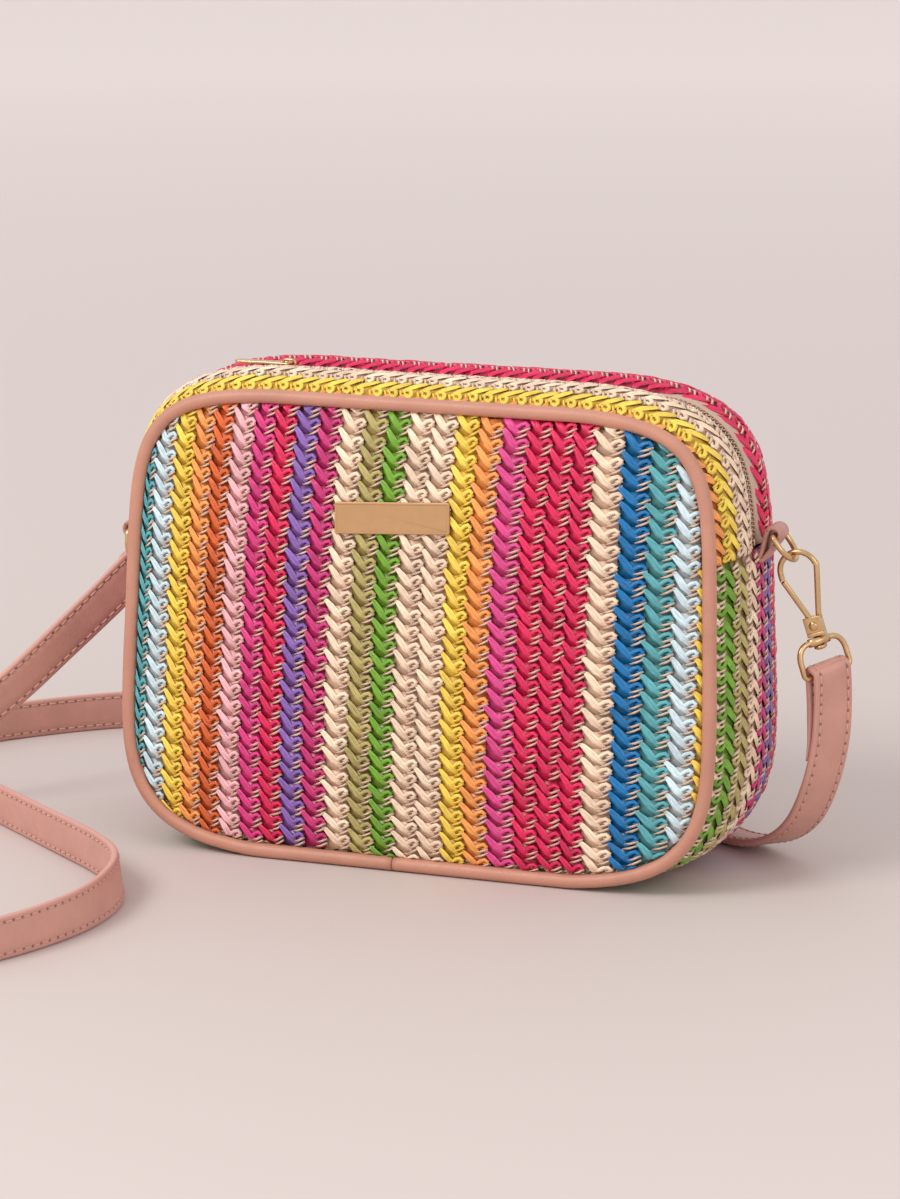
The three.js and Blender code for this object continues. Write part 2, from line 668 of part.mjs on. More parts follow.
function addStrap() {
  const middle = strapRoute.map(([x, y, z, ...width]) => [vector([x, y, z]), vector(width)]);
  const spots = middle.map(([spot]) => spot);
  const knots = [
    ...strapEnd(clasps.right, spots.slice(0, 4)),
    ...middle,
    ...strapEnd(clasps.left, spots.slice(-4).reverse()).reverse(),
  ];
  const route = new THREE.CatmullRomCurve3(knots.map(([spot]) => spot), false, 'catmullrom');
  const widths = new THREE.CatmullRomCurve3(knots.map(([, width]) => width), false, 'catmullrom');
  const [x, y, c] = [strapWidth / 2, strapSheet / 2, strapChamfer];
  const section = new THREE.Shape([
    [x, y - c], [x - c, y], [-x + c, y], [-x, y - c], [-x, -y + c], [-x + c, -y], [x - c, -y], [x, -y + c],
  ].map(([px, py]) => new THREE.Vector2(px, py)));
  const steps = 2 * (knots.length - 1);
  const straight = new THREE.ExtrudeGeometry(section, { depth: 1, steps, bevelEnabled: false });
  addPiece('strap', bend(straight, (spot) => {
    const along = route.getTangent(spot.z);
    const across = widths.getPoint(spot.z);
    across.addScaledVector(along, -across.dot(along)).normalize();
    const out = along.clone().cross(across);
    return route.getPoint(spot.z).addScaledVector(across, spot.x).addScaledVector(out, spot.y);
  }), 'leather');
}

addCloth();
addPiping();
addLining();
addZip();
addSlider();
addPlate();
for (const [end, clasp] of Object.entries(clasps)) {
  addTab(end, clasp);
  addRing(end, clasp);
  addClasp(end, clasp);
}
addStrap();

export default bag;
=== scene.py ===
import math
import bmesh
import bpy
import numpy as np
from mathutils import Matrix, Vector


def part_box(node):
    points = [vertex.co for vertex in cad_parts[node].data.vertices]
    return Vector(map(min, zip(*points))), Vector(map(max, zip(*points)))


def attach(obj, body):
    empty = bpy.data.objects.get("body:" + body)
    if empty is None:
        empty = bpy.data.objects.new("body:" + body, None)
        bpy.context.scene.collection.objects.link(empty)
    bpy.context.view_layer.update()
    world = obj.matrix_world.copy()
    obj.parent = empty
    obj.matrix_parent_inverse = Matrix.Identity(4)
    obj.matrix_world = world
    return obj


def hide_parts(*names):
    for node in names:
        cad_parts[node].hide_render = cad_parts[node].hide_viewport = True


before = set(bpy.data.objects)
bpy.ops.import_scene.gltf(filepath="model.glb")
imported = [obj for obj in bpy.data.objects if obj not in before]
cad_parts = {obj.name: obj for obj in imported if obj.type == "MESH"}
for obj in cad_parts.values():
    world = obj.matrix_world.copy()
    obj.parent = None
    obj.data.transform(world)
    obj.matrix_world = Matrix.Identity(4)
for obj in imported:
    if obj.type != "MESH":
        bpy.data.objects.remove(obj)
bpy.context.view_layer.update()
mm = 0.001
toMetres = Matrix.Diagonal((mm, mm, mm, 1))
toMillimetres = Matrix.Diagonal((1 / mm, 1 / mm, 1 / mm, 1))
scene = bpy.context.scene
scene.view_settings.view_transform = "Standard"
print("frame loaded:", len(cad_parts), "nodes")


# colours are written as screen values, 0 to 255
def tint(red, green, blue):
    parts = [value / 255 for value in (red, green, blue)]
    return tuple(c / 12.92 if c <= 0.04045 else ((c + 0.055) / 1.055) ** 2.4 for c in parts)


def shaded(colour, share):
    return tuple(min(1, c * share) for c in colour)


# camera, at the photograph's angle
view = {"azimuth": 20, "elevation": 12.5, "distance": 1361, "target": (0.25, 0, 85.5), "lens": 120.1,
        "sensor": 36, "farthest": 20}


def addCamera():
    turn, lift = math.radians(view["azimuth"]), math.radians(view["elevation"])
    back = Vector((math.sin(turn) * math.cos(lift), -math.cos(turn) * math.cos(lift), math.sin(lift)))
    camera = bpy.data.objects.new("camera", bpy.data.cameras.new("camera"))
    camera.data.lens = view["lens"]
    camera.data.sensor_width = view["sensor"]
    camera.data.clip_end = view["farthest"]
    camera.location = (Vector(view["target"]) + back * view["distance"]) * mm
    camera.rotation_euler = back.to_track_quat("Z", "Y").to_euler()
    scene.collection.objects.link(camera)
    scene.camera = camera


addCamera()
print("camera placed")


# finishes: an input takes a plain value or another node's output
def isOutput(value):
    return isinstance(value, bpy.types.NodeSocket)


def feed(tree, node, inputs):
    for key, value in inputs.items():
        if isOutput(value):
            tree.links.new(value, node.inputs[key])
        else:
            node.inputs[key].default_value = value


def newFinish(name, rough=0.5, metal=0.0):
    material = bpy.data.materials.new(name)
    material.use_nodes = True
    shader = material.node_tree.nodes["Principled BSDF"]
    feed(material.node_tree, shader, {"Roughness": rough, "Metallic": metal})
    return material, material.node_tree, shader


def addNode(tree, kind, inputs, **settings):
    node = tree.nodes.new(kind)
    for key, value in settings.items():
        setattr(node, key, value)
    feed(tree, node, inputs)
    return node


def blendColour(tree, factor, low, high, mode="MIX"):
    low, high = (value if isOutput(value) else (*value, 1) for value in (low, high))
    inputs = {0: factor, 6: low, 7: high}  # by number, because several inputs share a name
    return addNode(tree, "ShaderNodeMix", inputs, data_type="RGBA", blend_type=mode).outputs[2]


def reckon(tree, operation, *values):
    return addNode(tree, "ShaderNodeMath", dict(enumerate(values)), operation=operation).outputs[0]


def lengthOf(tree, vector):
    return addNode(tree, "ShaderNodeVectorMath", {0: vector}, operation="LENGTH").outputs["Value"]


def joinAxes(tree, x, y):
    return addNode(tree, "ShaderNodeCombineXYZ", {"X": x, "Y": y}).outputs[0]


def spread(tree, source, low, high, fromLow=0.3, fromHigh=0.7):
    ends = {"From Min": fromLow, "From Max": fromHigh, "To Min": low, "To Max": high}
    return addNode(tree, "ShaderNodeMapRange", {"Value": source, **ends}).outputs["Result"]


def addBump(tree, shader, height, look):
    inputs = {"Height": height, "Strength": look["bump"], "Distance": look["depth"]}
    feed(tree, shader, {"Normal": addNode(tree, "ShaderNodeBump", inputs).outputs["Normal"]})


def attribute(tree, name, output="Fac"):
    return addNode(tree, "ShaderNodeAttribute", {}, attribute_name=name).outputs[output]


# a pattern space that follows the piece: across and along it
def followCoords(tree, scale):
    flat = joinAxes(tree, attribute(tree, "across"), attribute(tree, "along"))
    return addNode(tree, "ShaderNodeMapping", {"Vector": flat, "Scale": (*scale, 1)}).outputs["Vector"]


def objectCoords(tree):
    return addNode(tree, "ShaderNodeTexCoord", {}).outputs["Object"]


def noiseOn(tree, coords, scale, detail, rough=0.5):
    inputs = {"Vector": coords, "Scale": scale, "Detail": detail, "Roughness": rough}
    return addNode(tree, "ShaderNodeTexNoise", inputs).outputs["Fac"]


# fibres run along each straw, and their lighter streaks are partly painted glints; the shades and rough are
# the least and the most that the pattern gives
strawLook = {"fibre": (1.7, 0.2), "fibreScale": 1.6, "fibreToneAndGlints": (0.76, 1.22), "mottle": 160,
             "mottleShade": (0.93, 1.05), "rough": (0.2, 0.4), "bump": 0.7, "depth": 0.0005}


def makeStraw():
    look = strawLook
    material, tree, shader = newFinish("straw")
    fibre = noiseOn(tree, followCoords(tree, look["fibre"]), look["fibreScale"], detail=4)
    mottle = noiseOn(tree, objectCoords(tree), look["mottle"], detail=2)
    # fibre streaks: tone along the straw, the lighter ones partly painted glints
    shade = reckon(tree, "MULTIPLY", spread(tree, fibre, *look["fibreToneAndGlints"]),
                   spread(tree, mottle, *look["mottleShade"]))
    grey = addNode(tree, "ShaderNodeCombineColor", {"Red": shade, "Green": shade, "Blue": shade})
    # the dye attribute also carries the ground's painted shade
    colour = blendColour(tree, 1.0, attribute(tree, "dye", "Color"), grey.outputs[0], "MULTIPLY")
    feed(tree, shader, {"Base Color": colour, "Roughness": spread(tree, fibre, *look["rough"])})
    addBump(tree, shader, fibre, look)
    return material


# on the strap, the lighter edge is edge paint with painted sheen, and the needle holes get painted shade
leatherLook = {"mottle": 55, "dark": 0.9, "light": 1.07, "grain": 1500.0, "grainShare": 0.6, "creases": 420,
               "rough": (0.38, 0.54), "bump": 0.22, "depth": 0.0004, "edgeSheenPast": (6.5, 6.85),
               "hole": (0.35, 0.7), "holeShade": 0.45}
# the strap's two rows of stitches on each face, millimetres
strapSeam = {"row": 5.15, "first": 3, "pitch": 3.7, "long": 2.6, "radius": 0.34, "narrow": 0.9, "lift": 1.2,
             "flat": 0.55, "crown": 0.05, "sunk": 0.3}


# the strap's edge paint, lighter as painted sheen, and painted shade in the needle holes half way between
# two stitches
def strapEdgeSheenAndHoleShade(tree, face, colour, edge):
    far = reckon(tree, "ABSOLUTE", attribute(tree, "across"))
    # edge paint, lighter as painted sheen
    painted = blendColour(tree, spread(tree, far, 0, 1, *leatherLook["edgeSheenPast"]), face, edge)
    half = strapSeam["pitch"] / 2
    past = reckon(tree, "SUBTRACT", attribute(tree, "along"), strapSeam["first"] + half)
    offRow = reckon(tree, "SUBTRACT", far, strapSeam["row"])
    offHole = lengthOf(tree, joinAxes(tree, offRow, reckon(tree, "PINGPONG", past, half)))
    # painted shade in the needle holes
    hole = spread(tree, offHole, 1, 0, *leatherLook["hole"])
    return blendColour(tree, hole, painted, shaded(colour, leatherLook["holeShade"]))


def makeLeather(name, colour, edge=None):
    look = leatherLook
    material, tree, shader = newFinish(name)
    coords = objectCoords(tree)
    mottle = spread(tree, noiseOn(tree, coords, look["mottle"], detail=4, rough=0.6), 0, 1)
    face = blendColour(tree, mottle, shaded(colour, look["dark"]), shaded(colour, look["light"]))
    if edge:
        face = strapEdgeSheenAndHoleShade(tree, face, colour, edge)
    inputs = {"Vector": coords, "Scale": look["grain"], "Randomness": 1.0}
    grain = addNode(tree, "ShaderNodeTexVoronoi", inputs).outputs["Distance"]
    creases = noiseOn(tree, coords, look["creases"], detail=5, rough=0.65)
    feed(tree, shader, {"Base Color": face, "Roughness": spread(tree, creases, *look["rough"])})
    addBump(tree, shader, reckon(tree, "MULTIPLY_ADD", grain, look["grainShare"], creases), look)
    return material


goldLook = {"wear": 240, "darker": 0.12, "lighter": 0.08, "smoother": 0.06, "rougher": 0.08, "pits": 1200,
            "bump": 0.06, "depth": 0.0002}


# patchy says how much of the wear shows
def makeGold(name, colour, rough, patchy=1.0):
    material, tree, shader = newFinish(name, rough, 1.0)
    coords = objectCoords(tree)
    wear = noiseOn(tree, coords, goldLook["wear"], detail=4, rough=0.6)
    darker, lighter, smoother, rougher = (
        goldLook[key] * patchy for key in ("darker", "lighter", "smoother", "rougher"))
    feed(tree, shader, {
        "Base Color": blendColour(tree, spread(tree, wear, 0, 1), shaded(colour, 1 - darker),
                                  shaded(colour, 1 + lighter)),
        "Roughness": spread(tree, wear, rough - smoother, rough + rougher),
    })
    addBump(tree, shader, noiseOn(tree, coords, goldLook["pits"], detail=2), goldLook)
    return material


# dark is the painted shade in the grooves of the thread and the weave
threadLook = {"twist": 700.0, "unrest": 2.0, "dark": 0.8, "rough": 0.6, "bump": 0.3, "depth": 0.0002}
wovenLook = {"unrest": 0.6, "dark": 0.72, "rough": 0.8, "bump": 0.4, "depth": 0.0003}


def addWave(tree, direction, scale, unrest, **more):
    inputs = {"Vector": objectCoords(tree), "Scale": scale, "Distortion": unrest, **more}
    return addNode(tree, "ShaderNodeTexWave", inputs, bands_direction=direction).outputs["Fac"]


# painted shade: the colour darkens where the pattern, which is also the bump, lies low
def shadeGroovesAndBump(tree, shader, pattern, colour, look):
    feed(tree, shader, {"Base Color": blendColour(tree, pattern, shaded(colour, look["dark"]), colour)})
    addBump(tree, shader, pattern, look)


def makeThread(name, colour):
    material, tree, shader = newFinish(name, threadLook["rough"])
    twist = addWave(tree, "DIAGONAL", threadLook["twist"], threadLook["unrest"])
    shadeGroovesAndBump(tree, shader, twist, colour, threadLook)
    return material


def makeWoven(name, colour, pitch):
    material, tree, shader = newFinish(name, wovenLook["rough"])
    threads = [addWave(tree, axis, 1 / pitch, wovenLook["unrest"], Detail=1.0) for axis in ("X", "Y")]
    shadeGroovesAndBump(tree, shader, reckon(tree, "MULTIPLY", *threads), colour, wovenLook)
    return material


straw = makeStraw()
pipingLeather = makeLeather("pipingLeather", tint(198, 140, 118))
# the lighter edge colour is edge paint with painted sheen
strapLeather = makeLeather("strapLeather", tint(204, 150, 136), edge=tint(214, 160, 148))
tabLeather = makeLeather("tabLeather", tint(200, 146, 134))
satinGold = makeGold("satinGold", tint(216, 180, 134), rough=0.26)
matteGold = makeGold("matteGold", tint(199, 158, 116), rough=0.5, patchy=0.3)
strapThread = makeThread("strapThread", tint(224, 172, 158))
zipCloth = makeWoven("zipCloth", tint(230, 197, 176), pitch=0.0011)
zipNylon = makeThread("zipNylon", tint(220, 184, 160))
cotton = makeWoven("cotton", tint(216, 196, 178), pitch=0.0012)
print("finishes made")


def toMesh(shape, name):
    mesh = bpy.data.meshes.new(name)
    shape.to_mesh(mesh)
    shape.free()
    return mesh


def spotsOf(mesh):
    flat = np.zeros(len(mesh.vertices) * 3)
    mesh.vertices.foreach_get("co", flat)
    return flat.reshape(-1, 3)


# moves a mesh's corners to spots given in millimetres
def moveTo(mesh, spots):
    mesh.vertices.foreach_set("co", (spots * mm).ravel())
    mesh.update()
    return mesh


def stackCopies(mesh, count, name):
    stack = bmesh.new()
    for _ in range(count):
        stack.from_mesh(mesh)
    return toMesh(stack, name)


# a finished shape becomes a piece that rides on a body, and stands for a node if it is given one
def addPiece(shape, name, body, material, node=None, smooth=True):
    mesh = toMesh(shape, name) if isinstance(shape, bmesh.types.BMesh) else shape
    piece = bpy.data.objects.new(name, mesh)
    mesh.materials.clear()
    mesh.materials.append(material)
    if smooth:
        mesh.shade_smooth()
    scene.collection.objects.link(piece)
    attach(piece, body)
    if node:
        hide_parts(node)
    return piece


def only(parts, kind):
    return [part for part in parts if isinstance(part, kind)]


def edgesAmong(edges, corners):
    known = set(corners)
    return [edge for edge in edges if known.issuperset(edge.verts)]


# a number by which no two spots of a shape are alike
def rankOf(spot):
    return spot.x + spot.y * math.sqrt(2) + spot.z * math.sqrt(3)


# faces point outwards, and get a fixed order, which some operators leave to chance
def closeUp(shape):
    bmesh.ops.recalc_face_normals(shape, faces=shape.faces)
    shape.verts.sort(key=lambda corner: rankOf(corner.co))
    shape.faces.sort(key=lambda face: rankOf(face.calc_center_median()))
    return shape


# a metal piece is named for its node and its kind
def addGold(shape, node, kind, body, finish=satinGold, smooth=True):
    addPiece(closeUp(shape), f"{node}_{kind}", body, finish, node, smooth)


def soften(shape, edges, offset, segments):
    bmesh.ops.bevel(shape, geom=edges, offset=offset, segments=segments, profile=0.5, affect="EDGES",
                    material=-1)


def drawOut(shape, faces, shift):
    made = bmesh.ops.extrude_face_region(shape, geom=faces)["geom"]
    bmesh.ops.translate(shape, vec=shift, verts=only(made, bmesh.types.BMVert))


# a closed section drawn out along a row of places; along and across are kept for the finishes
def sweep(shape, section, places, loop=False, alongs=None):
    floats = shape.verts.layers.float
    along, across = (floats.get(key) or floats.new(key) for key in ("along", "across"))
    alongs = alongs or range(len(places))
    first = [shape.verts.new(places[0] @ Vector((x, y, 0))) for x, y in section]
    for corner, (x, _) in zip(first, section):
        corner[across] = x
        corner[along] = alongs[0]
    edges = firstEdges = [shape.edges.new((first[k - 1], first[k])) for k in range(len(first))]
    for k in range(1, len(places)):
        made = bmesh.ops.extrude_edge_only(shape, edges=edges)["geom"]
        corners = only(made, bmesh.types.BMVert)
        edges = edgesAmong(only(made, bmesh.types.BMEdge), corners)
        bmesh.ops.transform(shape, matrix=places[k] @ places[k - 1].inverted(), verts=corners)
        for corner in corners:
            corner[along] = alongs[k]
    if loop:
        bmesh.ops.bridge_loops(shape, edges=firstEdges + edges)
    else:
        for rim in (firstEdges, edges):
            bmesh.ops.contextual_create(shape, geom=rim)
    return shape


def roundSection(radius, sides):
    turns = [2 * math.pi * k / sides for k in range(sides)]
    return [(radius * math.cos(t), radius * math.sin(t)) for t in turns]


def placeFrom(xAxis, yAxis, zAxis, spot):
    turned = Matrix((xAxis, yAxis, zAxis)).transposed().to_4x4()
    return turned + Matrix.Translation(spot) - Matrix.Identity(4)


# places along a path in millimetres, flat in a frame: the section's first axis lies in the path's plane
def flatPlaces(path, base, loop=False):
    places = []
    count = len(path)
    for k, (u, v) in enumerate(path):
        before = path[k - 1] if loop or k else path[0]
        after = path[(k + 1) % count] if loop or k < count - 1 else path[-1]
        ahead = Vector((after[0] - before[0], after[1] - before[1], 0)).normalized() * mm
        side = Vector((ahead.y, -ahead.x, 0))
        places.append(base @ placeFrom(side, Vector((0, 0, mm)), ahead, Vector((u, v, 0)) * mm))
    return places


# places along a path in space: the section's first axis lies flat
def pathPlaces(points, widths=None):
    spots = [Vector(point[:3]) for point in points]
    places = []
    for k, spot in enumerate(spots):
        ahead = (spots[min(k + 1, len(spots) - 1)] - spots[max(k - 1, 0)]).normalized()
        side = ahead.cross(Vector((0, 0, 1))).normalized()
        size = widths[k] if widths else 1
        places.append(placeFrom(side * size, side.cross(ahead), ahead, spot))
    return places


def arc(centre, radius, start, end, steps):
    turns = [math.radians(start + (end - start) * k / steps) for k in range(steps + 1)]
    return [(centre[0] + radius * math.cos(t), centre[1] + radius * math.sin(t)) for t in turns]


def bezier(a, b, c, d, steps):
    out = []
    for t in (k / steps for k in range(steps + 1)):
        weights = ((1 - t) ** 3, 3 * t * (1 - t) ** 2, 3 * t * t * (1 - t), t ** 3)
        out.append(tuple(sum(w * p[i] for w, p in zip(weights, (a, b, c, d))) for i in (0, 1)))
    return out


def catmull(knots, steps):
    knots = np.asarray(knots, float)
    padded = np.vstack([2 * knots[0] - knots[1], knots, 2 * knots[-1] - knots[-2]])
    t = np.arange(steps)[:, None] / steps
    runs = []
    for k in range(len(knots) - 1):
        a, b, c, d = padded[k:k + 4]
        start, end = (c - a) / 2, (d - b) / 2
        square, cube = 3 * (c - b) - 2 * start - end, 2 * (b - c) + start + end
        runs.append(b + start * t + square * t ** 2 + cube * t ** 3)
    return np.vstack([*runs, knots[-1:]])


# how far along its length each spot of a line lies
def distances(line):
    return np.concatenate([[0], np.cumsum(np.linalg.norm(np.diff(line, axis=0), axis=1))])


# which way a line runs at each spot
def directions(line):
    ahead = np.gradient(line, axis=0)
    return ahead / np.linalg.norm(ahead, axis=1)[:, None]


# what a row of spots or directions comes to, far along its line
def valuesAt(far, gone, row):
    return np.stack([np.interp(far, gone, row[:, k]) for k in range(3)], -1)


# the bag's shape in millimetres, as the solids have it
bag = {
    "width": 205, "height": 156, "depth": 70, "lean": 10, "topSquareness": 5.9, "baseSquareness": 4.6,
    "taper": 0.05, "topTrim": 0.35, "baseTrim": 1, "proud": 0.8, "panelBulge": 7, "sideBulge": 7.5,
    "topBulge": 7.3, "baseBulge": 4, "bulgePower": 2.4, "seamHeight": 110.6, "piping": 2.4,
    "pipingLift": 0.2, "gap": 0.3, "skin": 2.2, "outlineSteps": 4801,
}
frontAndBack = (("front", -1), ("back", 1))


def traceOutline():
    turn = np.linspace(0, 2 * np.pi, bag["outlineSteps"]) - np.pi / 2
    c, s = np.cos(turn), np.sin(turn)
    power = np.where(s > 0, bag["topSquareness"], bag["baseSquareness"])
    reach = (np.abs(c) ** power + np.abs(s) ** power) ** (-1 / power)
    rise = (1 + reach * s) / 2
    x = bag["width"] / 2 * reach * c * (1 - bag["taper"] * (rise - 0.5))
    height = np.clip(rise * bag["height"], bag["baseTrim"], bag["height"] - bag["topTrim"])
    z = height - bag["baseTrim"] + bag["piping"] + bag["pipingLift"]
    steps = np.hypot(np.diff(x), np.diff(z))
    length = steps.sum()
    share = np.concatenate([[0], np.cumsum(steps)]) / length
    ahead = np.stack([np.gradient(x, share), np.gradient(z, share)])
    ahead /= np.linalg.norm(ahead, axis=0)
    return {"share": share, "x": x, "z": z, "outX": ahead[1], "outZ": -ahead[0], "length": length}


# a share of the outline starts under the bag's middle and goes up its right side
outline = traceOutline()
baseLine = bag["piping"] + bag["pipingLift"]
middle = bag["height"] / 2


def outlineAt(share, *keys):
    return [np.interp(np.asarray(share) % 1, outline["share"], outline[key]) for key in keys]


def halfDepth(z):
    return bag["depth"] / 2 - bag["lean"] * ((z - baseLine) / bag["height"] - 0.5)


rightSide = outline["share"] < 0.5
seamShare = float(np.interp(bag["seamHeight"], outline["z"][rightSide], outline["share"][rightSide]))


def bandPoint(share, y, lift):
    x, z, outX, outZ = outlineAt(share, "x", "z", "outX", "outZ")
    fullness = 1 - np.minimum(np.abs(y / halfDepth(z)), 1) ** bag["bulgePower"]
    upDown = np.where(outZ > 0, bag["topBulge"], bag["baseBulge"])
    bulge = bag["sideBulge"] + (upDown - bag["sideBulge"]) * outZ ** 2
    out = bulge * fullness + bag["proud"] + lift
    floorStop = np.maximum(-np.asarray(lift), 0)
    return np.stack([x + outX * out, y + 0 * out, np.maximum(z + outZ * out, floorStop)], -1)


# the panel's edge as a distance from its middle, by angle
edgeX = outline["x"] - outline["outX"] * (bag["piping"] + 2 * bag["gap"])
edgeZ = outline["z"] - outline["outZ"] * (bag["piping"] + 2 * bag["gap"])
edgeTurn = np.arctan2(edgeX, middle - edgeZ) % (2 * np.pi)
edgeOrder = np.argsort(edgeTurn)
edgeReach = np.hypot(edgeX, edgeZ - middle)[edgeOrder]
edgeTurn = edgeTurn[edgeOrder]


def panelReach(x, z):
    turn = np.arctan2(x, middle - z) % (2 * np.pi)
    return np.hypot(x, z - middle), np.interp(turn, edgeTurn, edgeReach, period=2 * np.pi)


# how cloth tucks in past its edge, millimetres
tuck = {"panel": 2.0, "band": 1.4, "mouth": 0.7, "drop": 1.2, "deepest": 3.5, "mouthDeepest": 1.2}


def tucked(over, limit):
    return limit * (1 - np.exp(-over / limit))


def panelPoint(side, x, z, lift):
    far, edge = panelReach(x, z)
    over = np.maximum(far - edge, 0)
    held = np.minimum(far, edge) + tucked(over, tuck["panel"])
    scale = held / np.maximum(far, 1e-6)
    x, z = x * scale, middle + (z - middle) * scale
    dome = bag["panelBulge"] * (1 - np.minimum(held / edge, 1) ** bag["bulgePower"])
    y = halfDepth(z) + dome + bag["proud"] + lift - tuck["drop"] * np.minimum(over, tuck["deepest"])
    return np.stack([x, side * y, z], -1)


# one stitch of the straw cloth: a slanting leaf, a loop beside it, two binding threads, the ground behind,
# coloured darker as painted shade.
# x across its column, y up, z out of the cloth, in millimetres; a leaf's fourth value is its width
stitch = {
    "column": 8.0, "row": 5.63, "hang": 2, "pivot": 4,
    "leaf": [(-1.0, 0.6, -0.7, 0.3), (0.3, -0.05, 0.05, 0.8), (1.9, -1.9, 0.35, 1.12),
             (3.55, -4.1, 0.35, 1.2), (6.1, -6.9, -0.45, 0.75)],
    "leafSection": [(-1, -0.15), (-0.62, 0.44), (0.05, 0.12), (0.6, 0.38), (1, -0.15)],
    "leafCreases": (-1, 0.05, 1),
    "ear": [(2.8, -4.9, -0.8), (4.6, -4.15, -0.1), (5.95, -3.05, 0.15), (7.2, -2.65, 0.15),
            (8.15, -3.4, 0.0), (7.65, -4.25, -0.2), (6.6, -4.4, -0.6)],
    "earAlongs": [0, 2, 4, 5, 6, 8, 9], "earRadius": 0.78, "earFlat": 0.85, "earSides": 5,
    "binders": [[(4.9, -5.75, -0.3), (6.6, -5.05, 0.5), (8.6, -4.2, -0.25)],
                [(4.6, -7.5, -0.4), (6.4, -6.75, 0.45), (8.6, -5.7, -0.3)]],
    "binderRadius": 0.5, "binderSides": 3,
    "ground": (-1.6, -0.65),
}
kinds = {"leaf": 0.0, "ear": 1.0, "binder": 2.0, "ground": 3.0}


def makeStitch():
    shape = bmesh.new()
    kind = shape.verts.layers.float.new("kind")
    done = set()

    def mark(name):
        for corner in shape.verts:
            if corner not in done:
                corner[kind] = kinds[name]
                done.add(corner)

    leaf = stitch["leaf"]
    sweep(shape, stitch["leafSection"], pathPlaces(leaf, [point[3] for point in leaf]),
          alongs=[math.hypot(*point[:2]) for point in leaf])
    across = shape.verts.layers.float["across"]
    for edge in shape.edges:  # crisp along the leaf's edges and between its two strands
        start, end = (corner[across] for corner in edge.verts)
        edge.smooth = start != end or all(abs(start - crease) > 0.01 for crease in stitch["leafCreases"])
    mark("leaf")
    loop = [(x, y * stitch["earFlat"]) for x, y in roundSection(stitch["earRadius"], stitch["earSides"])]
    sweep(shape, loop, pathPlaces(stitch["ear"]), alongs=stitch["earAlongs"])
    mark("ear")
    for points in stitch["binders"]:
        sweep(shape, roundSection(stitch["binderRadius"], stitch["binderSides"]), pathPlaces(points))
    mark("binder")
    wide, tall, (low, high) = stitch["column"], stitch["row"], stitch["ground"]
    spot = Matrix.Translation((wide / 2, -tall / 2 - stitch["hang"], (low + high) / 2))
    size = Matrix.Diagonal((wide, tall, high - low, 1))
    block = bmesh.ops.create_cube(shape, size=1, matrix=spot @ size)["verts"]
    mark("ground")  # before the cut, whose new corners take it over
    sideways = [edge for edge in edgesAmong(shape.edges, block)
                if abs(edge.verts[0].co.x - edge.verts[1].co.x) > wide / 2]
    bmesh.ops.subdivide_edges(shape, edges=sideways, cuts=1)
    return toMesh(closeUp(shape), "stitch")


stitchMesh = makeStitch()
stitchSpots = spotsOf(stitchMesh)
stitchKind = np.zeros(len(stitchSpots))
stitchMesh.attributes["kind"].data.foreach_get("value", stitchKind)

# straw dyes, the binding thread, and the ground's painted shade, which is darker where columns meet
dyes = {
    "teal": (94, 174, 182), "sky": (214, 236, 244), "yellow": (255, 219, 90), "orange": (255, 166, 88),
    "rust": (222, 104, 52), "blush": (248, 188, 194), "pink": (226, 62, 136), "crimson": (226, 38, 92),
    "purple": (144, 104, 186), "magenta": (208, 54, 124), "cream": (254, 225, 197),
    "khaki": (188, 174, 108), "green": (120, 172, 52), "fuchsia": (226, 74, 144), "blue": (16, 118, 182),
}
binderTint = (236, 204, 182)
plainDyes = ("yellow",)  # the binding thread there has the straw's own colour
# painted shade on the ground: the share of the dye it keeps in a column's middle and at its sides, and its
# warm tint
ground = {"middle": 0.8, "sides": 0.42, "shadeWarmth": (1.0, 0.86, 0.8)}
nearMiddle = np.abs(stitchSpots[:, 0] - stitch["column"] / 2) < 1
groundPaintedShade = np.where(nearMiddle, ground["middle"], ground["sides"])
groundPaintedTint = groundPaintedShade[:, None] * np.array(ground["shadeWarmth"])
# how far stitches stray, for each unit of a normal draw: radians, millimetres and a share of the tone
stray = {"turn": 0.05, "across": 0.2, "up": 0.22, "out": 0.14, "tone": 0.07}
strayMost = 2  # a draw is cut off here
fibreRun = 90  # each stitch takes its own stretch of the fibre pattern
seed = 7
rng = np.random.default_rng(seed)


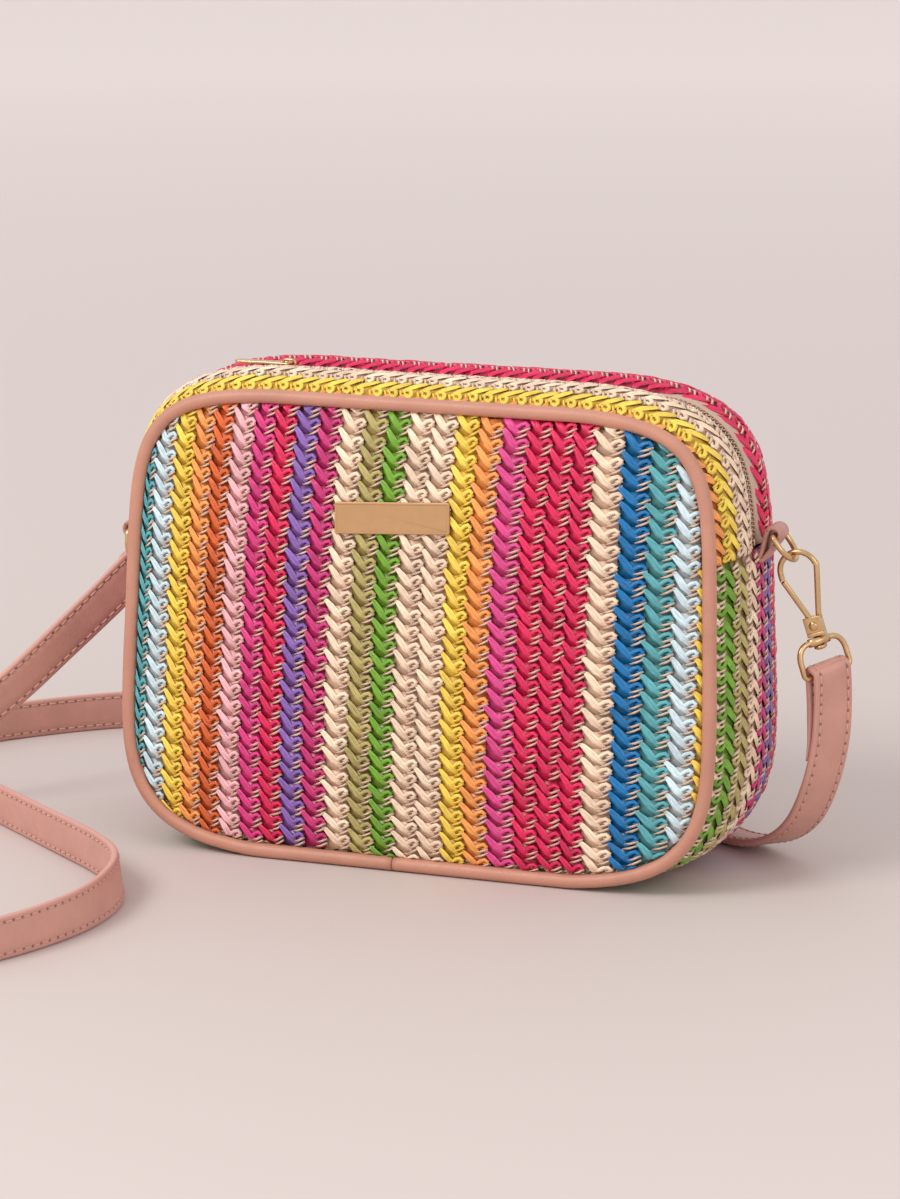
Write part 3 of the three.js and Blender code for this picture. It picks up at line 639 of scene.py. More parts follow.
# stacks copies of the stitch, lays them out flat in their columns, then bends them to the surface
def weave(name, columns, tops, keep, toSurface, node):
    spans = [(start[0], end[0], start[1]) for start, end in zip(columns, columns[1:])]
    cells = [(left, right, top, dye) for left, right, dye in spans for top in tops
             if keep(left, right, top)]
    count, each = len(cells), len(stitchSpots)
    mesh = stackCopies(stitchMesh, count, name)
    left, right, top = (np.array([cell[k] for cell in cells])[:, None] for k in range(3))
    draws = np.clip(rng.normal(0, 1, (count, len(stray))), -strayMost, strayMost)
    turn, across, up, out, tone = (draws[:, k:k + 1] * much for k, much in enumerate(stray.values()))
    isGround = stitchKind == kinds["ground"]
    loose = np.where(isGround, 0, 1)[None, :]
    u, v, h = (np.repeat(stitchSpots[None, :, k], count, 0) for k in range(3))
    u, v = u + turn * loose * (v + stitch["pivot"]), v - turn * loose * (u - stitch["pivot"])
    x = left + u * (right - left) / stitch["column"] + across * loose
    y = top + v + up * loose
    h = h + out * loose
    moveTo(mesh, toSurface(x.ravel(), y.ravel(), h.ravel()))
    along = np.zeros(count * each)
    mesh.attributes["along"].data.foreach_get("value", along)
    along += np.repeat(rng.uniform(0, fibreRun, count), each)
    mesh.attributes["along"].data.foreach_set("value", along)
    straws = [cell[3] for cell in cells]
    colours = np.array([tint(*dyes[dye]) for dye in straws])
    threads = np.array([tint(*(dyes[dye] if dye in plainDyes else binderTint)) for dye in straws])
    paint = np.repeat(colours[:, None, :], each, 1) * (1 + tone)[:, :, None]
    paint = np.where((stitchKind == kinds["binder"])[None, :, None], threads[:, None, :], paint)
    # painted shade: each ground takes a darker, warmer copy of its column's dye, darkest where columns meet
    paint = np.where(isGround[None, :, None], groundPaintedTint[None, :, :] * paint, paint)
    full = np.concatenate([np.clip(paint, 0, 1), np.ones((count, each, 1))], -1)
    # the dye attribute holds the straws' dyes, and on the ground their painted shade
    mesh.attributes.new("dye", "FLOAT_COLOR", "POINT").data.foreach_set("color", full.ravel())
    mesh.attributes.remove(mesh.attributes["kind"])
    print("woven", name, count, "stitches")
    addPiece(mesh, name, "bag", straw, node)


# panel columns: left edge at half height, millimetres, and dye; the last one only closes the row
panelColumns = [
    (-108.3, "blue"), (-100.2, "teal"), (-95.6, "sky"), (-88.3, "yellow"), (-81.1, "orange"),
    (-74.1, "rust"), (-67.0, "blush"), (-59.4, "pink"), (-51.8, "crimson"), (-44.1, "purple"),
    (-36.2, "magenta"), (-28.3, "cream"), (-19.9, "khaki"), (-11.8, "green"), (-3.9, "cream"),
    (4.4, "cream"), (12.9, "yellow"), (20.6, "orange"), (28.9, "fuchsia"), (38.2, "crimson"),
    (46.3, "crimson"), (54.2, "crimson"), (61.7, "cream"), (71.3, "blue"), (80.7, "teal"), (89.9, "sky"),
    (98.2, "yellow"), (106.3, "orange"), (114.4, None),
]
panelCloth = {"rowRise": 0.044, "leanLeft": 0.033, "leanRight": 0.0, "top": 172.0, "rows": 31, "least": 0.5}


# rows rise to the right, and columns lean
def leaned(x, z):
    share = np.clip((x + bag["width"] / 2) / bag["width"], 0, 1)
    lean = panelCloth["leanLeft"] + (panelCloth["leanRight"] - panelCloth["leanLeft"]) * share
    z = z + panelCloth["rowRise"] * x
    return x + lean * (z - middle), z


# a stitch is kept if any corner of it falls inside the panel
def onPanel(left, right, top):
    for x in (left, right):
        for down in (0, stitch["row"]):
            far, edge = panelReach(*leaned(x, top - stitch["hang"] - down))
            if far < edge - panelCloth["least"]:
                return True
    return False


def addPanels():
    tops = [panelCloth["top"] - k * stitch["row"] for k in range(panelCloth["rows"])]
    for end, side in frontAndBack:
        def bend(x, y, h):
            x, z = leaned(x, y)
            return panelPoint(side, -side * x, z, h)

        weave(f"{end}_weave", panelColumns, tops, onPanel, bend, f"{end}_panel")


addPanels()

# the band: columns across it for the gusset and the two strips beside the zip
gussetColumns = [
    (-41.6, "orange"), (-33.6, "blush"), (-25.6, "pink"), (-17.6, "crimson"), (-9.6, "purple"),
    (-1.6, "magenta"), (6.4, "cream"), (14.4, "khaki"), (22.4, "green"), (30.4, "cream"), (38.4, None),
]
stripColumns = {
    "front": [(4.4, "cream"), (12.0, "cream"), (19.6, "yellow"), (27.2, "orange"), (34.8, None)],
    "back": [(4.4, "crimson"), (12.0, "crimson"), (19.6, "crimson"), (27.2, "cream"), (34.8, None)],
}
zipper = {
    "dip": 1.8, "dipReach": 8, "mouth": 9.6, "lip": 1.1, "lipReach": 3.5, "risePast": 66, "riseOver": 16,
    "rise": 1.7, "tape": 0.7, "tapeReach": 10, "tapeSteps": 120, "tapeRows": 6, "coil": 0.75,
    "coilSplit": 1.2, "meshAt": 1.1, "meshReach": 1.05, "turns": 180, "turnSteps": 10, "wire": 0.26,
    "wireInset": 0.24, "stopLong": 2.4, "stopThick": 1.6, "stopRound": 0.5, "stopSteps": 4, "stopRows": 6,
}
seam = {"reach": 1.6, "depth": 1.1}
claspDent = {"y": 8.5, "z": 94.5, "reach": 7.5, "depth": 1.5}  # where the left clasp lies on the gusset
weaveRelief = {"strip": 0.7, "gusset": 0.85}


def zipSink(y):
    return zipper["dip"] * np.exp(-(y / zipper["dipReach"]) ** 2)


def clothOnBand(share, y, h, isStrip):
    z, = outlineAt(share, "z")
    edge = halfDepth(z) - bag["piping"] - bag["gap"]
    far = np.abs(y)
    over = np.maximum(far - edge, 0)
    held = np.minimum(far, edge) + tucked(over, tuck["band"])
    lift = h - tuck["drop"] * np.minimum(over, tuck["deepest"])
    if isStrip:
        mouth = zipper["mouth"] / 2
        inside = np.maximum(mouth - far, 0)
        held = np.where(far < mouth, mouth - tucked(inside, tuck["mouth"]), held)
        lift = lift - tuck["drop"] * np.minimum(inside, tuck["mouthDeepest"]) - zipSink(y)
        lift = lift - zipper["lip"] * np.exp(-((far - mouth) / zipper["lipReach"]) ** 2)
    folded = np.where(np.abs(share) < 0.5, np.abs(share), 1 - np.abs(share))
    away = np.abs(folded - seamShare) * outline["length"]
    lift = lift - seam["depth"] * np.maximum(1 - away / seam["reach"], 0)
    return bandPoint(share, np.sign(y) * held, lift)


def onGusset(x, gone, h):
    share = np.clip(-gone, -seamShare, seamShare)
    z, = outlineAt(share, "z")
    y = -x * halfDepth(z) / halfDepth(bag["seamHeight"])
    away = np.hypot(y - claspDent["y"], z - claspDent["z"]) / claspDent["reach"]
    dent = np.where(share < 0, claspDent["depth"] * np.exp(-away ** 2), 0)
    return clothOnBand(share, y, h * weaveRelief["gusset"] - dent, False)


def onStrip(side):
    def lay(x, gone, h):
        share = np.clip(0.5 + side * gone, seamShare, 1 - seamShare)
        return clothOnBand(share, side * x, h * weaveRelief["strip"], True)

    return lay


# whole rows of stitches on a stretch of the band, to either side of its centre; lay takes outline shares
def addBandCloth(node, columns, centre, halfShare, lay):
    half = halfShare * outline["length"]
    rows = round(2 * half / stitch["row"])
    stretch = 2 * half / rows / stitch["row"]
    tops = [half / stretch + stitch["hang"] - k * stitch["row"] for k in range(rows)]

    def inBand(left, right, top):
        z, = outlineAt(centre + (stitch["pivot"] - top) * stretch / outline["length"], "z")
        return min(abs(left), abs(right)) < halfDepth(z) - bag["piping"]

    def bend(x, y, h):
        return lay(x, y * stretch / outline["length"], h)

    weave(f"{node}_weave", columns, tops, inBand, bend, node)


addBandCloth("gusset", gussetColumns, 0, seamShare, onGusset)
for end, side in frontAndBack:
    addBandCloth(f"zip_strip_{end}", stripColumns[end], 0.5, 0.5 - seamShare, onStrip(side))

# leather piping: a filled cord round each panel, its two ends meeting under the bag
piping = {"jointX": -5.4, "jointGap": 0.5, "steps": 300, "sides": 12, "waver": 0.05, "waves": 60}


def addPiping():
    joint = piping["jointX"] / outline["length"]
    ends = piping["jointGap"] / 2 / outline["length"]
    shares = np.linspace(joint + ends, joint + 1 - ends, piping["steps"])
    knots = np.linspace(shares[0], shares[-1], piping["waves"])
    x, z, outX, outZ = outlineAt(shares, "x", "z", "outX", "outZ")
    for end, side in frontAndBack:
        wave = 1 + piping["waver"] * np.interp(shares, knots, rng.uniform(-0.5, 0.5, piping["waves"]))
        spots = np.stack([x, side * halfDepth(z), z], -1) * mm
        ahead = directions(spots)
        places = []
        for k in range(piping["steps"]):
            out, forward = Vector((outX[k], 0, outZ[k])), Vector(ahead[k])
            out = (out - forward * out.dot(forward)).normalized() * wave[k] * mm
            places.append(placeFrom(out, forward.cross(out), forward * mm, Vector(spots[k])))
        shape = sweep(bmesh.new(), roundSection(bag["piping"], piping["sides"]), places)
        addPiece(closeUp(shape), f"{end}_piping_cord", "bag", pipingLeather, f"{end}_piping")


addPiping()
print("piping made")

# clasps: how each hangs, in degrees and directions, as the solids have it
clasps = {
    "right": {"side": 1, "tabAngle": 58, "ringTurn": 38, "hookAt": 0, "axis": (0.305, 0, -0.952),
              "width": (0.952, 0, 0.305), "across": (0.72, 0.69, 0)},
    "left": {"side": -1, "tabAngle": -42, "ringTurn": 2, "hookAt": 75, "axis": (-0.105, 0.978, -0.18),
             "width": (-0.85, -0.05, 0.5), "across": (-0.5, 0.05, 0.86)},
}
# their sizes in millimetres
tab = {"width": 10, "sheet": 1.4, "length": 9.2, "tunnel": 1.6, "wrap": 100, "edgeFlat": 0.35,
       "edgeRound": 0.5}
hardware = {
    "wire": 1.0, "wireSides": 12, "ringHalf": 6.6, "ringStraight": 3.6, "ringCorner": 1.5, "bow": 6.3,
    "pinAlong": 18.9, "noseAlong": 2.0, "noseCut": 20.4, "shoulder": (3.9, 9.5), "legSunk": 1,
    "blockTop": 15.8, "blockBottom": 22.4, "blockHalf": 2.95, "blockThick": 3.8, "blockEdge": 0.22,
    "slotThick": 2.1, "slotBottom": 21.2, "slotRight": 2.35, "gateSheet": 1.5, "gateTip": (-6.05, 2.65),
    "gateHalf": 0.95, "gateEye": 2.0, "gateEdge": 0.55, "gateFlat": 30, "pinRadius": 0.8, "pinHead": 1.5,
    "pinDome": 0.6, "pinProud": 0.05, "pinTurns": (0, 22, 45, 67), "stem": 1.2, "stemSunk": 0.3,
    "stemHead": (2.2, 1.3), "stemRound": 0.6, "bridgeTop": 22.8, "bridgeBottom": 25.4, "bridgeHalf": 4.2,
    "bridgeThick": 4.0, "bridgeHole": 1.5, "bridgeSides": 24, "eyeHalf": 8.8, "eyeAlong": 35,
    "eyeCorner": 1.4,
}
wireSection = roundSection(hardware["wire"], hardware["wireSides"])


def tunnelOf(clasp):
    turn = math.radians(clasp["tabAngle"])
    foot = bandPoint(seamShare, 0.0, 0.0)
    z = bag["seamHeight"] - bag["gap"] - tab["sheet"] + tab["length"] * math.sin(turn)
    return Vector((clasp["side"] * (foot[0] + tab["length"] * math.cos(turn)), 0, z))


def ringFrame(clasp):
    hang = math.radians(clasp["ringTurn"]) * clasp["side"]
    up = Vector((-math.sin(hang), 0, math.cos(hang)))
    bar = Vector((0, 1, 0))
    seat = tunnelOf(clasp) + up * (hardware["wire"] + bag["gap"] / 2 - tab["tunnel"])
    return placeFrom(bar, up, bar.cross(up), seat)


def axisOf(clasp):
    return Vector(clasp["axis"]).normalized()


# the middle of the hook's bow, which hangs in the ring with a little room
def bowOf(clasp):
    at = math.radians(clasp["hookAt"])
    half = hardware["ringHalf"]
    spot = Vector((math.sin(at) * half, -math.cos(at) * half - hardware["ringStraight"], 0))
    return ringFrame(clasp) @ spot + axisOf(clasp) * (hardware["bow"] - 2 * hardware["wire"] - bag["gap"])


def frameAlong(axis, near, spot):
    across = (near - axis * near.dot(axis)).normalized()
    return placeFrom(across, axis, across.cross(axis), spot)


def inMetres(place):
    return toMetres @ place @ toMillimetres


def moved(x, y, z):
    return Matrix.Translation((x * mm, y * mm, z * mm))


# a block with softened edges between two corners, in a frame
def addBlock(shape, low, high, place, rounding):
    size = Matrix.Diagonal((*[b - a for a, b in zip(low, high)], 1))
    spot = Matrix.Translation([(a + b) / 2 for a, b in zip(low, high)])
    made = bmesh.ops.create_cube(shape, size=1, matrix=place @ toMetres @ spot @ size)["verts"]
    soften(shape, edgesAmong(shape.edges, made), rounding * mm, segments=3)


# a flat outline drawn out to a thickness, with softened edges
def addOutlineSheet(shape, points, thick, place, rounding):
    scale = place @ toMetres
    face = shape.faces.new([shape.verts.new(scale @ Vector((u, v, -thick / 2))) for u, v in points])
    drawOut(shape, [face], scale.to_3x3() @ Vector((0, 0, thick)))
    rims = [edge for edge in shape.edges if len(edge.link_faces) == 2
            and any(len(side.verts) > 4 for side in edge.link_faces)]
    soften(shape, rims, rounding * mm, segments=2)


# a profile of (radius, height) turned about the height
def spinProfile(shape, profile, place):
    scale = place @ toMetres
    corners = [shape.verts.new(scale @ Vector((radius, 0, height))) for radius, height in profile]
    edges = [shape.edges.new(pair) for pair in zip(corners, corners[1:])]
    axis = (scale.to_3x3() @ Vector((0, 0, 1))).normalized()
    bmesh.ops.spin(shape, geom=corners + edges, cent=scale.to_translation(), axis=axis, angle=2 * math.pi,
                   steps=20, use_merge=True)
    bmesh.ops.remove_doubles(shape, verts=shape.verts, dist=1e-6)


alongHook = Matrix.Rotation(math.radians(-90), 4, "X")  # turns a height to run along the hook


def addTab(end, clasp):
    degrees, side = clasp["tabAngle"], clasp["side"]
    turn = math.radians(degrees)
    half, wide = tab["sheet"] / 2, tab["width"] / 2
    mid = (tab["length"] * math.cos(turn), tab["length"] * math.sin(turn))
    elbow = half * math.tan(turn / 2)
    skinHalf = bag["skin"] / 2
    path = [(-bag["skin"], -half), (0, -half), (skinHalf + elbow, -half)]
    path += arc(mid, tab["tunnel"] + half, degrees - tab["wrap"], degrees + tab["wrap"], steps=16)
    path += [(skinHalf - elbow, half), (0, half), (-bag["skin"], half)]
    tunnel = tunnelOf(clasp)
    foot = Vector((tunnel.x - side * mid[0], 0, tunnel.z - mid[1])) * mm
    base = placeFrom(Vector((side, 0, 0)), Vector((0, 0, 1)), Vector((0, -side, 0)), foot)
    flat, corner = tab["edgeFlat"] * half, wide - tab["edgeRound"]
    section = [(flat, wide), (-flat, wide), (-half, corner), (-half, 0), (-half, -corner), (-flat, -wide),
               (flat, -wide), (half, -corner), (half, 0), (half, corner)]
    shape = sweep(bmesh.new(), section, flatPlaces(catmull(path, steps=3), base))
    addPiece(closeUp(shape), f"tab_{end}_leather", "bag", tabLeather, f"tab_{end}")


def addRing(end, clasp):
    half, corner = hardware["ringHalf"], hardware["ringCorner"]
    path = arc((-half + corner, -corner), corner, 90, 180, steps=6)[:-1]
    path += arc((0, -hardware["ringStraight"]), half, 180, 360, steps=40)
    path += arc((half - corner, -corner), corner, 0, 90, steps=6)
    path += [(half - corner - k * (half - corner) / 4, 0) for k in range(1, 8)]
    places = flatPlaces(path, inMetres(ringFrame(clasp)), loop=True)
    addGold(sweep(bmesh.new(), wireSection, places, loop=True), f"d_ring_{end}", "wire", f"ring_{end}")


def addHook(end, place):
    h = hardware
    # bow and leg in one wire, with a slanting nose
    leg = [(h["slotRight"] - bag["gap"], h["blockTop"] + h["legSunk"]), h["shoulder"]]
    leg += [*arc((0, 0), h["bow"], 0, -180, steps=14), (-h["bow"], h["noseAlong"])]
    places = flatPlaces(catmull(leg, steps=4), place)
    places[-1] = places[-1] @ Matrix.Rotation(math.radians(h["noseCut"]), 4, "Y")
    shape = sweep(bmesh.new(), wireSection, places)
    # the body, slotted for the gate
    half, thick, slot = h["blockHalf"], h["blockThick"] / 2, h["slotThick"] / 2
    for low, high in (
        ((-half, h["blockTop"], slot), (half, h["slotBottom"], thick)),
        ((-half, h["blockTop"], -thick), (half, h["slotBottom"], -slot)),
        ((h["slotRight"], h["blockTop"], -slot), (half, h["slotBottom"], slot)),
        ((-half, h["slotBottom"], -thick), (half, h["blockBottom"], thick)),
    ):
        addBlock(shape, low, high, place, h["blockEdge"])
    # swivel stem with its head below the eye's bridge
    foot, headTop = h["blockBottom"] - h["stemSunk"], h["bridgeBottom"] + bag["gap"]
    headRadius, headHeight = h["stemHead"]
    profile = [(0, foot), (h["stem"], foot), (h["stem"], headTop), (headRadius, headTop),
               (headRadius, headTop + headHeight * h["stemRound"]),
               (headRadius * h["stemRound"], headTop + headHeight), (0, headTop + headHeight)]
    spinProfile(shape, profile, place @ alongHook)
    addGold(shape, f"hook_{end}", "body", f"clasp_{end}")


# a flat spring bar round the pin
def addGate(end, place):
    pin, tip, half = (0, hardware["pinAlong"]), hardware["gateTip"], hardware["gateHalf"]
    turn = math.degrees(math.atan2(tip[1] - pin[1], tip[0] - pin[0]))
    shoulder = math.degrees(math.asin(half / hardware["gateEye"]))
    flat = hardware["gateFlat"]
    points = arc(tip, half, turn - 90, turn - 90 + flat, steps=3)
    points += arc(tip, half, turn + 90 - flat, turn + 90, steps=3)
    points += arc(pin, hardware["gateEye"], turn + shoulder, turn - shoulder + 360, steps=24)
    shape = bmesh.new()
    addOutlineSheet(shape, points, hardware["gateSheet"], place, hardware["gateEdge"])
    addGold(shape, f"gate_{end}", "bar", f"gate_{end}")


# the gate's pin, with a dome at each end
def addRivet(end, place):
    h = hardware
    face = h["blockThick"] / 2 + h["pinProud"]
    turns = [math.radians(degrees) for degrees in h["pinTurns"]]
    dome = [(h["pinHead"] * math.cos(t), face + h["pinDome"] * math.sin(t)) for t in turns]
    upper = [(h["pinRadius"], face), *dome, (0, face + h["pinDome"])]
    shape = bmesh.new()
    spinProfile(shape, [(r, -z) for r, z in reversed(upper)] + upper, place @ moved(0, h["pinAlong"], 0))
    addGold(shape, f"gate_pin_{end}", "rivet", f"clasp_{end}")


# a wire bent to a square foot, held by the bored bridge
def addEye(end, place):
    h = hardware
    half, corner, along = h["eyeHalf"], h["eyeCorner"], h["eyeAlong"]
    crown = (h["bridgeTop"] + h["bridgeBottom"]) / 2
    inset, foot = half - corner, h["bridgeBottom"] + h["bridgeHalf"]
    right = bezier((h["bridgeHalf"], crown), (inset, crown), (half, crown + 2 * corner), (half, foot),
                   steps=10)
    right += [(half, foot + (along - corner - foot) * k / 3) for k in (1, 2)]
    right += arc((inset, along - corner), corner, 0, 90, steps=6)
    right += [(inset * (1 - k / 4), along) for k in range(1, 4)]
    path = right + [(0, along)] + [(-u, v) for u, v in reversed(right)]
    path += [(-h["bridgeHalf"] + k * h["bridgeHalf"] / 2, crown) for k in range(1, 4)]
    shape = sweep(bmesh.new(), wireSection, flatPlaces(path, place, loop=True), loop=True)
    # bridge: an oval washer round the stem
    top = place @ moved(0, h["bridgeTop"], 0) @ alongHook
    oval = Matrix.Diagonal((1, h["bridgeThick"] / 2 / h["bridgeHalf"], 1, 1))
    rings = []
    for radius, squeeze in ((h["bridgeHole"], Matrix.Identity(4)), (h["bridgeHalf"], oval)):
        rings += bmesh.ops.create_circle(shape, segments=h["bridgeSides"], radius=radius * mm,
                                         matrix=top @ squeeze)["verts"]
    washer = bmesh.ops.bridge_loops(shape, edges=edgesAmong(shape.edges, rings))["faces"]
    thick = (h["bridgeBottom"] - h["bridgeTop"]) * mm
    drawOut(shape, washer, place.to_3x3() @ Vector((0, thick, 0)))
    addGold(shape, f"eye_{end}", "wire", "bag")


for end, clasp in clasps.items():
    addTab(end, clasp)
    addRing(end, clasp)
    hookPlace, eyePlace = (inMetres(frameAlong(axisOf(clasp), Vector(clasp[way]), bowOf(clasp)))
                           for way in ("width", "across"))
    addHook(end, hookPlace)
    addGate(end, hookPlace)
    addRivet(end, hookPlace)
    addEye(end, eyePlace)
print("tabs, rings and clasps made")

# strap route from the right eye to the left one, as the solids have it: x, y, z in millimetres, then the
# direction of its width, which is upright where none is given
strapRoute = [
    (134.8, 0.2, 60, 0.71, 0.69, 0.12), (134, 0.8, 47, 0.72, 0.69, 0.02), (130.2, 3.6, 31.5, 0.72, 0.69, 0),
    (123, 9.6, 16.8, 0.72, 0.69, 0), (112, 18, 7.2, 0.7, 0.71, 0), (97, 30, 2.4, 0.66, 0.75, 0),
    (80, 44.5, 1.9, 0.6, 0.8, 0.05), (60, 60, 4.3, 0.46, 0.76, 0.4), (38, 74, 6.9, 0.25, 0.45, 0.85),
    (13, 87, 7.3, 0.05, 0.1, 1), (-25, 105, 7.2), (-65, 120, 7.2), (-105, 128, 7.2), (-142, 122, 7.2),
    (-172, 106, 7.2), (-198, 82, 7.2), (-215, 58, 7.2), (-220, 34, 7.2), (-209, 12, 7.2), (-185, -9, 7.2),
    (-156, -32, 7.2), (-121, -59, 7.3, 0, 0.05, 1), (-97, -78, 7.4, -0.08, 0.12, 1),
    (-82, -95, 7.4, -0.2, 0.16, 0.95), (-75, -116, 7.4, -0.24, 0.02, 0.95), (-75, -142, 7.3, -0.12, 0, 1),
    (-85, -173, 7.2), (-104, -202, 7.2), (-134, -222, 7.2), (-170, -226, 7.2), (-206, -213, 7.2),
    (-233, -186, 7.2), (-247, -150, 7.2), (-246, -113, 7.2), (-231, -80, 7.4),
    (-210, -54, 11.5, -0.15, -0.2, 1), (-188, -31, 21.8, -0.32, -0.38, 0.85),
    (-166.8, -8, 38.7, -0.42, -0.46, 0.78), (-149.5, 11, 58, -0.45, -0.43, 0.78),
    (-134, 28, 76.4, -0.48, -0.25, 0.82), (-130.5, 39.5, 82.5, -0.5, -0.05, 0.86),
]
strap = {
    "width": 14, "sheet": 2.6, "foldBack": 32, "foldClear": 0.35, "foldCloses": 1.05, "steps": 6,
    "endKnots": 4, "endSteps": 60, "length": 1.32, "pared": 0.25, "paredLong": 14, "exitKnot": 60,
    "exitReach": 6,
    # half of the section: across, then out from the middle; the dip carries the stitches
    "edge": [(7.0, 0.0), (6.97, 0.55), (6.75, 0.95), (6.3, 1.2), (5.75, 1.28), (5.15, 1.02), (4.55, 1.28),
             (2.5, 1.34)],
}


# the doubled end of the strap and its turn round the eye's bar
def strapEnd(clasp, route):
    axis = axisOf(clasp)
    bar = bowOf(clasp) + axis * hardware["eyeAlong"]
    across = frameAlong(axis, Vector(clasp["across"]), bar).col[0].to_3d()
    along = Vector(route[0]) - bar
    along = (along - across * along.dot(across)).normalized()
    inward = across.cross(along) * clasp["side"]
    radius = hardware["wire"] + strap["foldClear"] + strap["sheet"] / 2
    turn = [bar + inward * u - along * v for u, v in arc((0, 0), radius, 0, 180, steps=4)]
    run = catmull([turn[-1], *route], strap["endSteps"])
    gone = distances(run)
    doubled = []
    for part in (1, 0.75, 0.5, 0.25):
        far = part * strap["foldBack"]
        spot, ahead = (Vector(valuesAt(far + more, gone, run)) for more in (0, 0.5))
        closing = min(1, part * strap["foldCloses"])
        apart = 2 * radius * (1 - closing) + (strap["sheet"] + bag["gap"]) * closing
        doubled.append(spot + across.cross(ahead - spot).normalized() * clasp["side"] * apart)
    return [(*spot, *across) for spot in doubled + turn], bar


def strapLine():
    route = [(*point, 0, 0, 1)[:6] for point in strapRoute]
    spots = [point[:3] for point in route]
    rightEnd, rightBar = strapEnd(clasps["right"], spots[:strap["endKnots"]])
    leftEnd, _ = strapEnd(clasps["left"], spots[::-1][:strap["endKnots"]])
    whole = catmull([*rightEnd, *route, *reversed(leftEnd)], strap["steps"])
    line, across = whole[:, :3], whole[:, 3:]
    ahead = directions(line)
    across = across - ahead * (across * ahead).sum(1)[:, None]
    across /= np.linalg.norm(across, axis=1)[:, None]
    return line, across, ahead, rightBar


# one short rounded bar copied along two rows on each face, but not on the pared ends
def addStitching(line, across, out, gone):
    long, low, high = strapSeam["long"] / 2, -strapSeam["sunk"], strapSeam["crown"]
    flat = long * strapSeam["flat"]
    bar = [(-long, 0, low), (-flat, 0, high), (flat, 0, high), (long, 0, low)]
    section = [(x * strapSeam["narrow"], y) for x, y in roundSection(strapSeam["radius"], sides=5)]
    one = toMesh(closeUp(sweep(bmesh.new(), section, pathPlaces(bar))), "strapStitch")
    spots = spotsOf(one)
    starts = np.arange(strapSeam["first"], gone[-1] - strapSeam["first"], strapSeam["pitch"])
    starts = starts[np.minimum(starts, gone[-1] - starts) > strap["paredLong"]]
    far = (starts[:, None] + spots[None, :, 0]).ravel()
    middles, sides, tops = (valuesAt(far, gone, source) for source in (line, across, out))
    laid = []
    for row in (-1, 1):
        for face in (-1, 1):
            side = np.tile(row * strapSeam["row"] + spots[:, 1] * face, len(starts))
            lift = np.tile(face * (strapSeam["lift"] + spots[:, 2]), len(starts))
            laid.append(middles + sides * side[:, None] + tops * lift[:, None])
    mesh = moveTo(stackCopies(one, len(starts) * len(laid), "strapStitching"), np.concatenate(laid))
    return addPiece(mesh, "strap_stitching", "bag", strapThread)


def addStrap():
    line, across, ahead, bar = strapLine()
    gone = distances(line)
    out = np.cross(ahead, across)
    half = strap["edge"]
    upper = half + [(-x, y) for x, y in reversed(half)]
    section = upper + [(x, -y) for x, y in reversed(upper) if y > 0]
    # both doubled ends are pared thin and lie on the run beneath
    toEnd = np.minimum(gone, gone[-1] - gone)
    thin = strap["pared"] + (1 - strap["pared"]) * np.clip(toEnd / strap["paredLong"], 0, 1)
    spots = line - out * ((1 - thin) * strap["sheet"] / 2)[:, None]
    axes = (across, out * thin[:, None], ahead, spots)
    places = [placeFrom(*(Vector(axis[k]) * mm for axis in axes)) for k in range(len(line))]
    shape = sweep(bmesh.new(), section, places, alongs=[float(value) for value in gone])
    piece = addPiece(closeUp(shape), "strap_leather", "bag", strapLeather, "strap")
    stitching = addStitching(line, across, out, gone)
    print("strap made,", round(gone[-1]), "mm along its middle")


addStrap()


# zip: two tapes, two coils, two stops; past the slider's run it lies higher, near the cloth's edge
def zipRise(share):
    x, = outlineAt(share, "x")
    part = np.clip((np.abs(x) - zipper["risePast"]) / zipper["riseOver"], 0, 1)
    return zipper["rise"] * part * part * (3 - 2 * part)


# a flat strip laid on the band, between two shares of the outline and two values of y
def bandStrip(name, shares, ys, top, thick, steps, rows, sink):
    shape = bmesh.new()
    bmesh.ops.create_grid(shape, x_segments=steps, y_segments=rows, size=0.5)
    bmesh.ops.solidify(shape, geom=shape.faces[:], thickness=1)
    mesh = toMesh(closeUp(shape), name)
    u, v, w = spotsOf(mesh).T
    share = shares[0] + (shares[1] - shares[0]) * (u + 0.5)
    y = ys[0] + (ys[1] - ys[0]) * (v + 0.5)
    lift = top + thick * (w - w.max()) / np.ptp(w) - sink(y)
    return moveTo(mesh, bandPoint(share, y, lift + zipRise(share)))


# one fine spiral; the two are half a turn apart, so that they mesh
def addCoil(end, side, start, height):
    t = np.linspace(0, 1, zipper["turns"] * zipper["turnSteps"])
    turn = 2 * np.pi * zipper["turns"] * t + (np.pi if side > 0 else 0)
    share = start + (1 - 2 * start) * t
    y = side * (zipper["meshAt"] + zipper["meshReach"] * np.cos(turn))
    lift = height + (zipper["coil"] - zipper["wireInset"]) * np.sin(turn) - zipSink(0) + zipRise(share)
    spots = bandPoint(share, y, lift) * mm
    line = bpy.data.curves.new("coil", "CURVE")
    line.dimensions = "3D"
    line.bevel_depth = zipper["wire"] * mm
    line.bevel_resolution = 0
    line.use_fill_caps = True
    spline = line.splines.new("POLY")
    spline.points.add(len(spots) - 1)
    spline.points.foreach_set("co", np.concatenate([spots, np.ones((len(spots), 1))], 1).ravel())
    holder = bpy.data.objects.new("coil", line)
    coil = bpy.data.meshes.new_from_object(holder)
    bpy.data.objects.remove(holder)
    addPiece(coil, f"zip_coil_{end}_spiral", "bag", zipNylon, f"zip_coil_{end}")


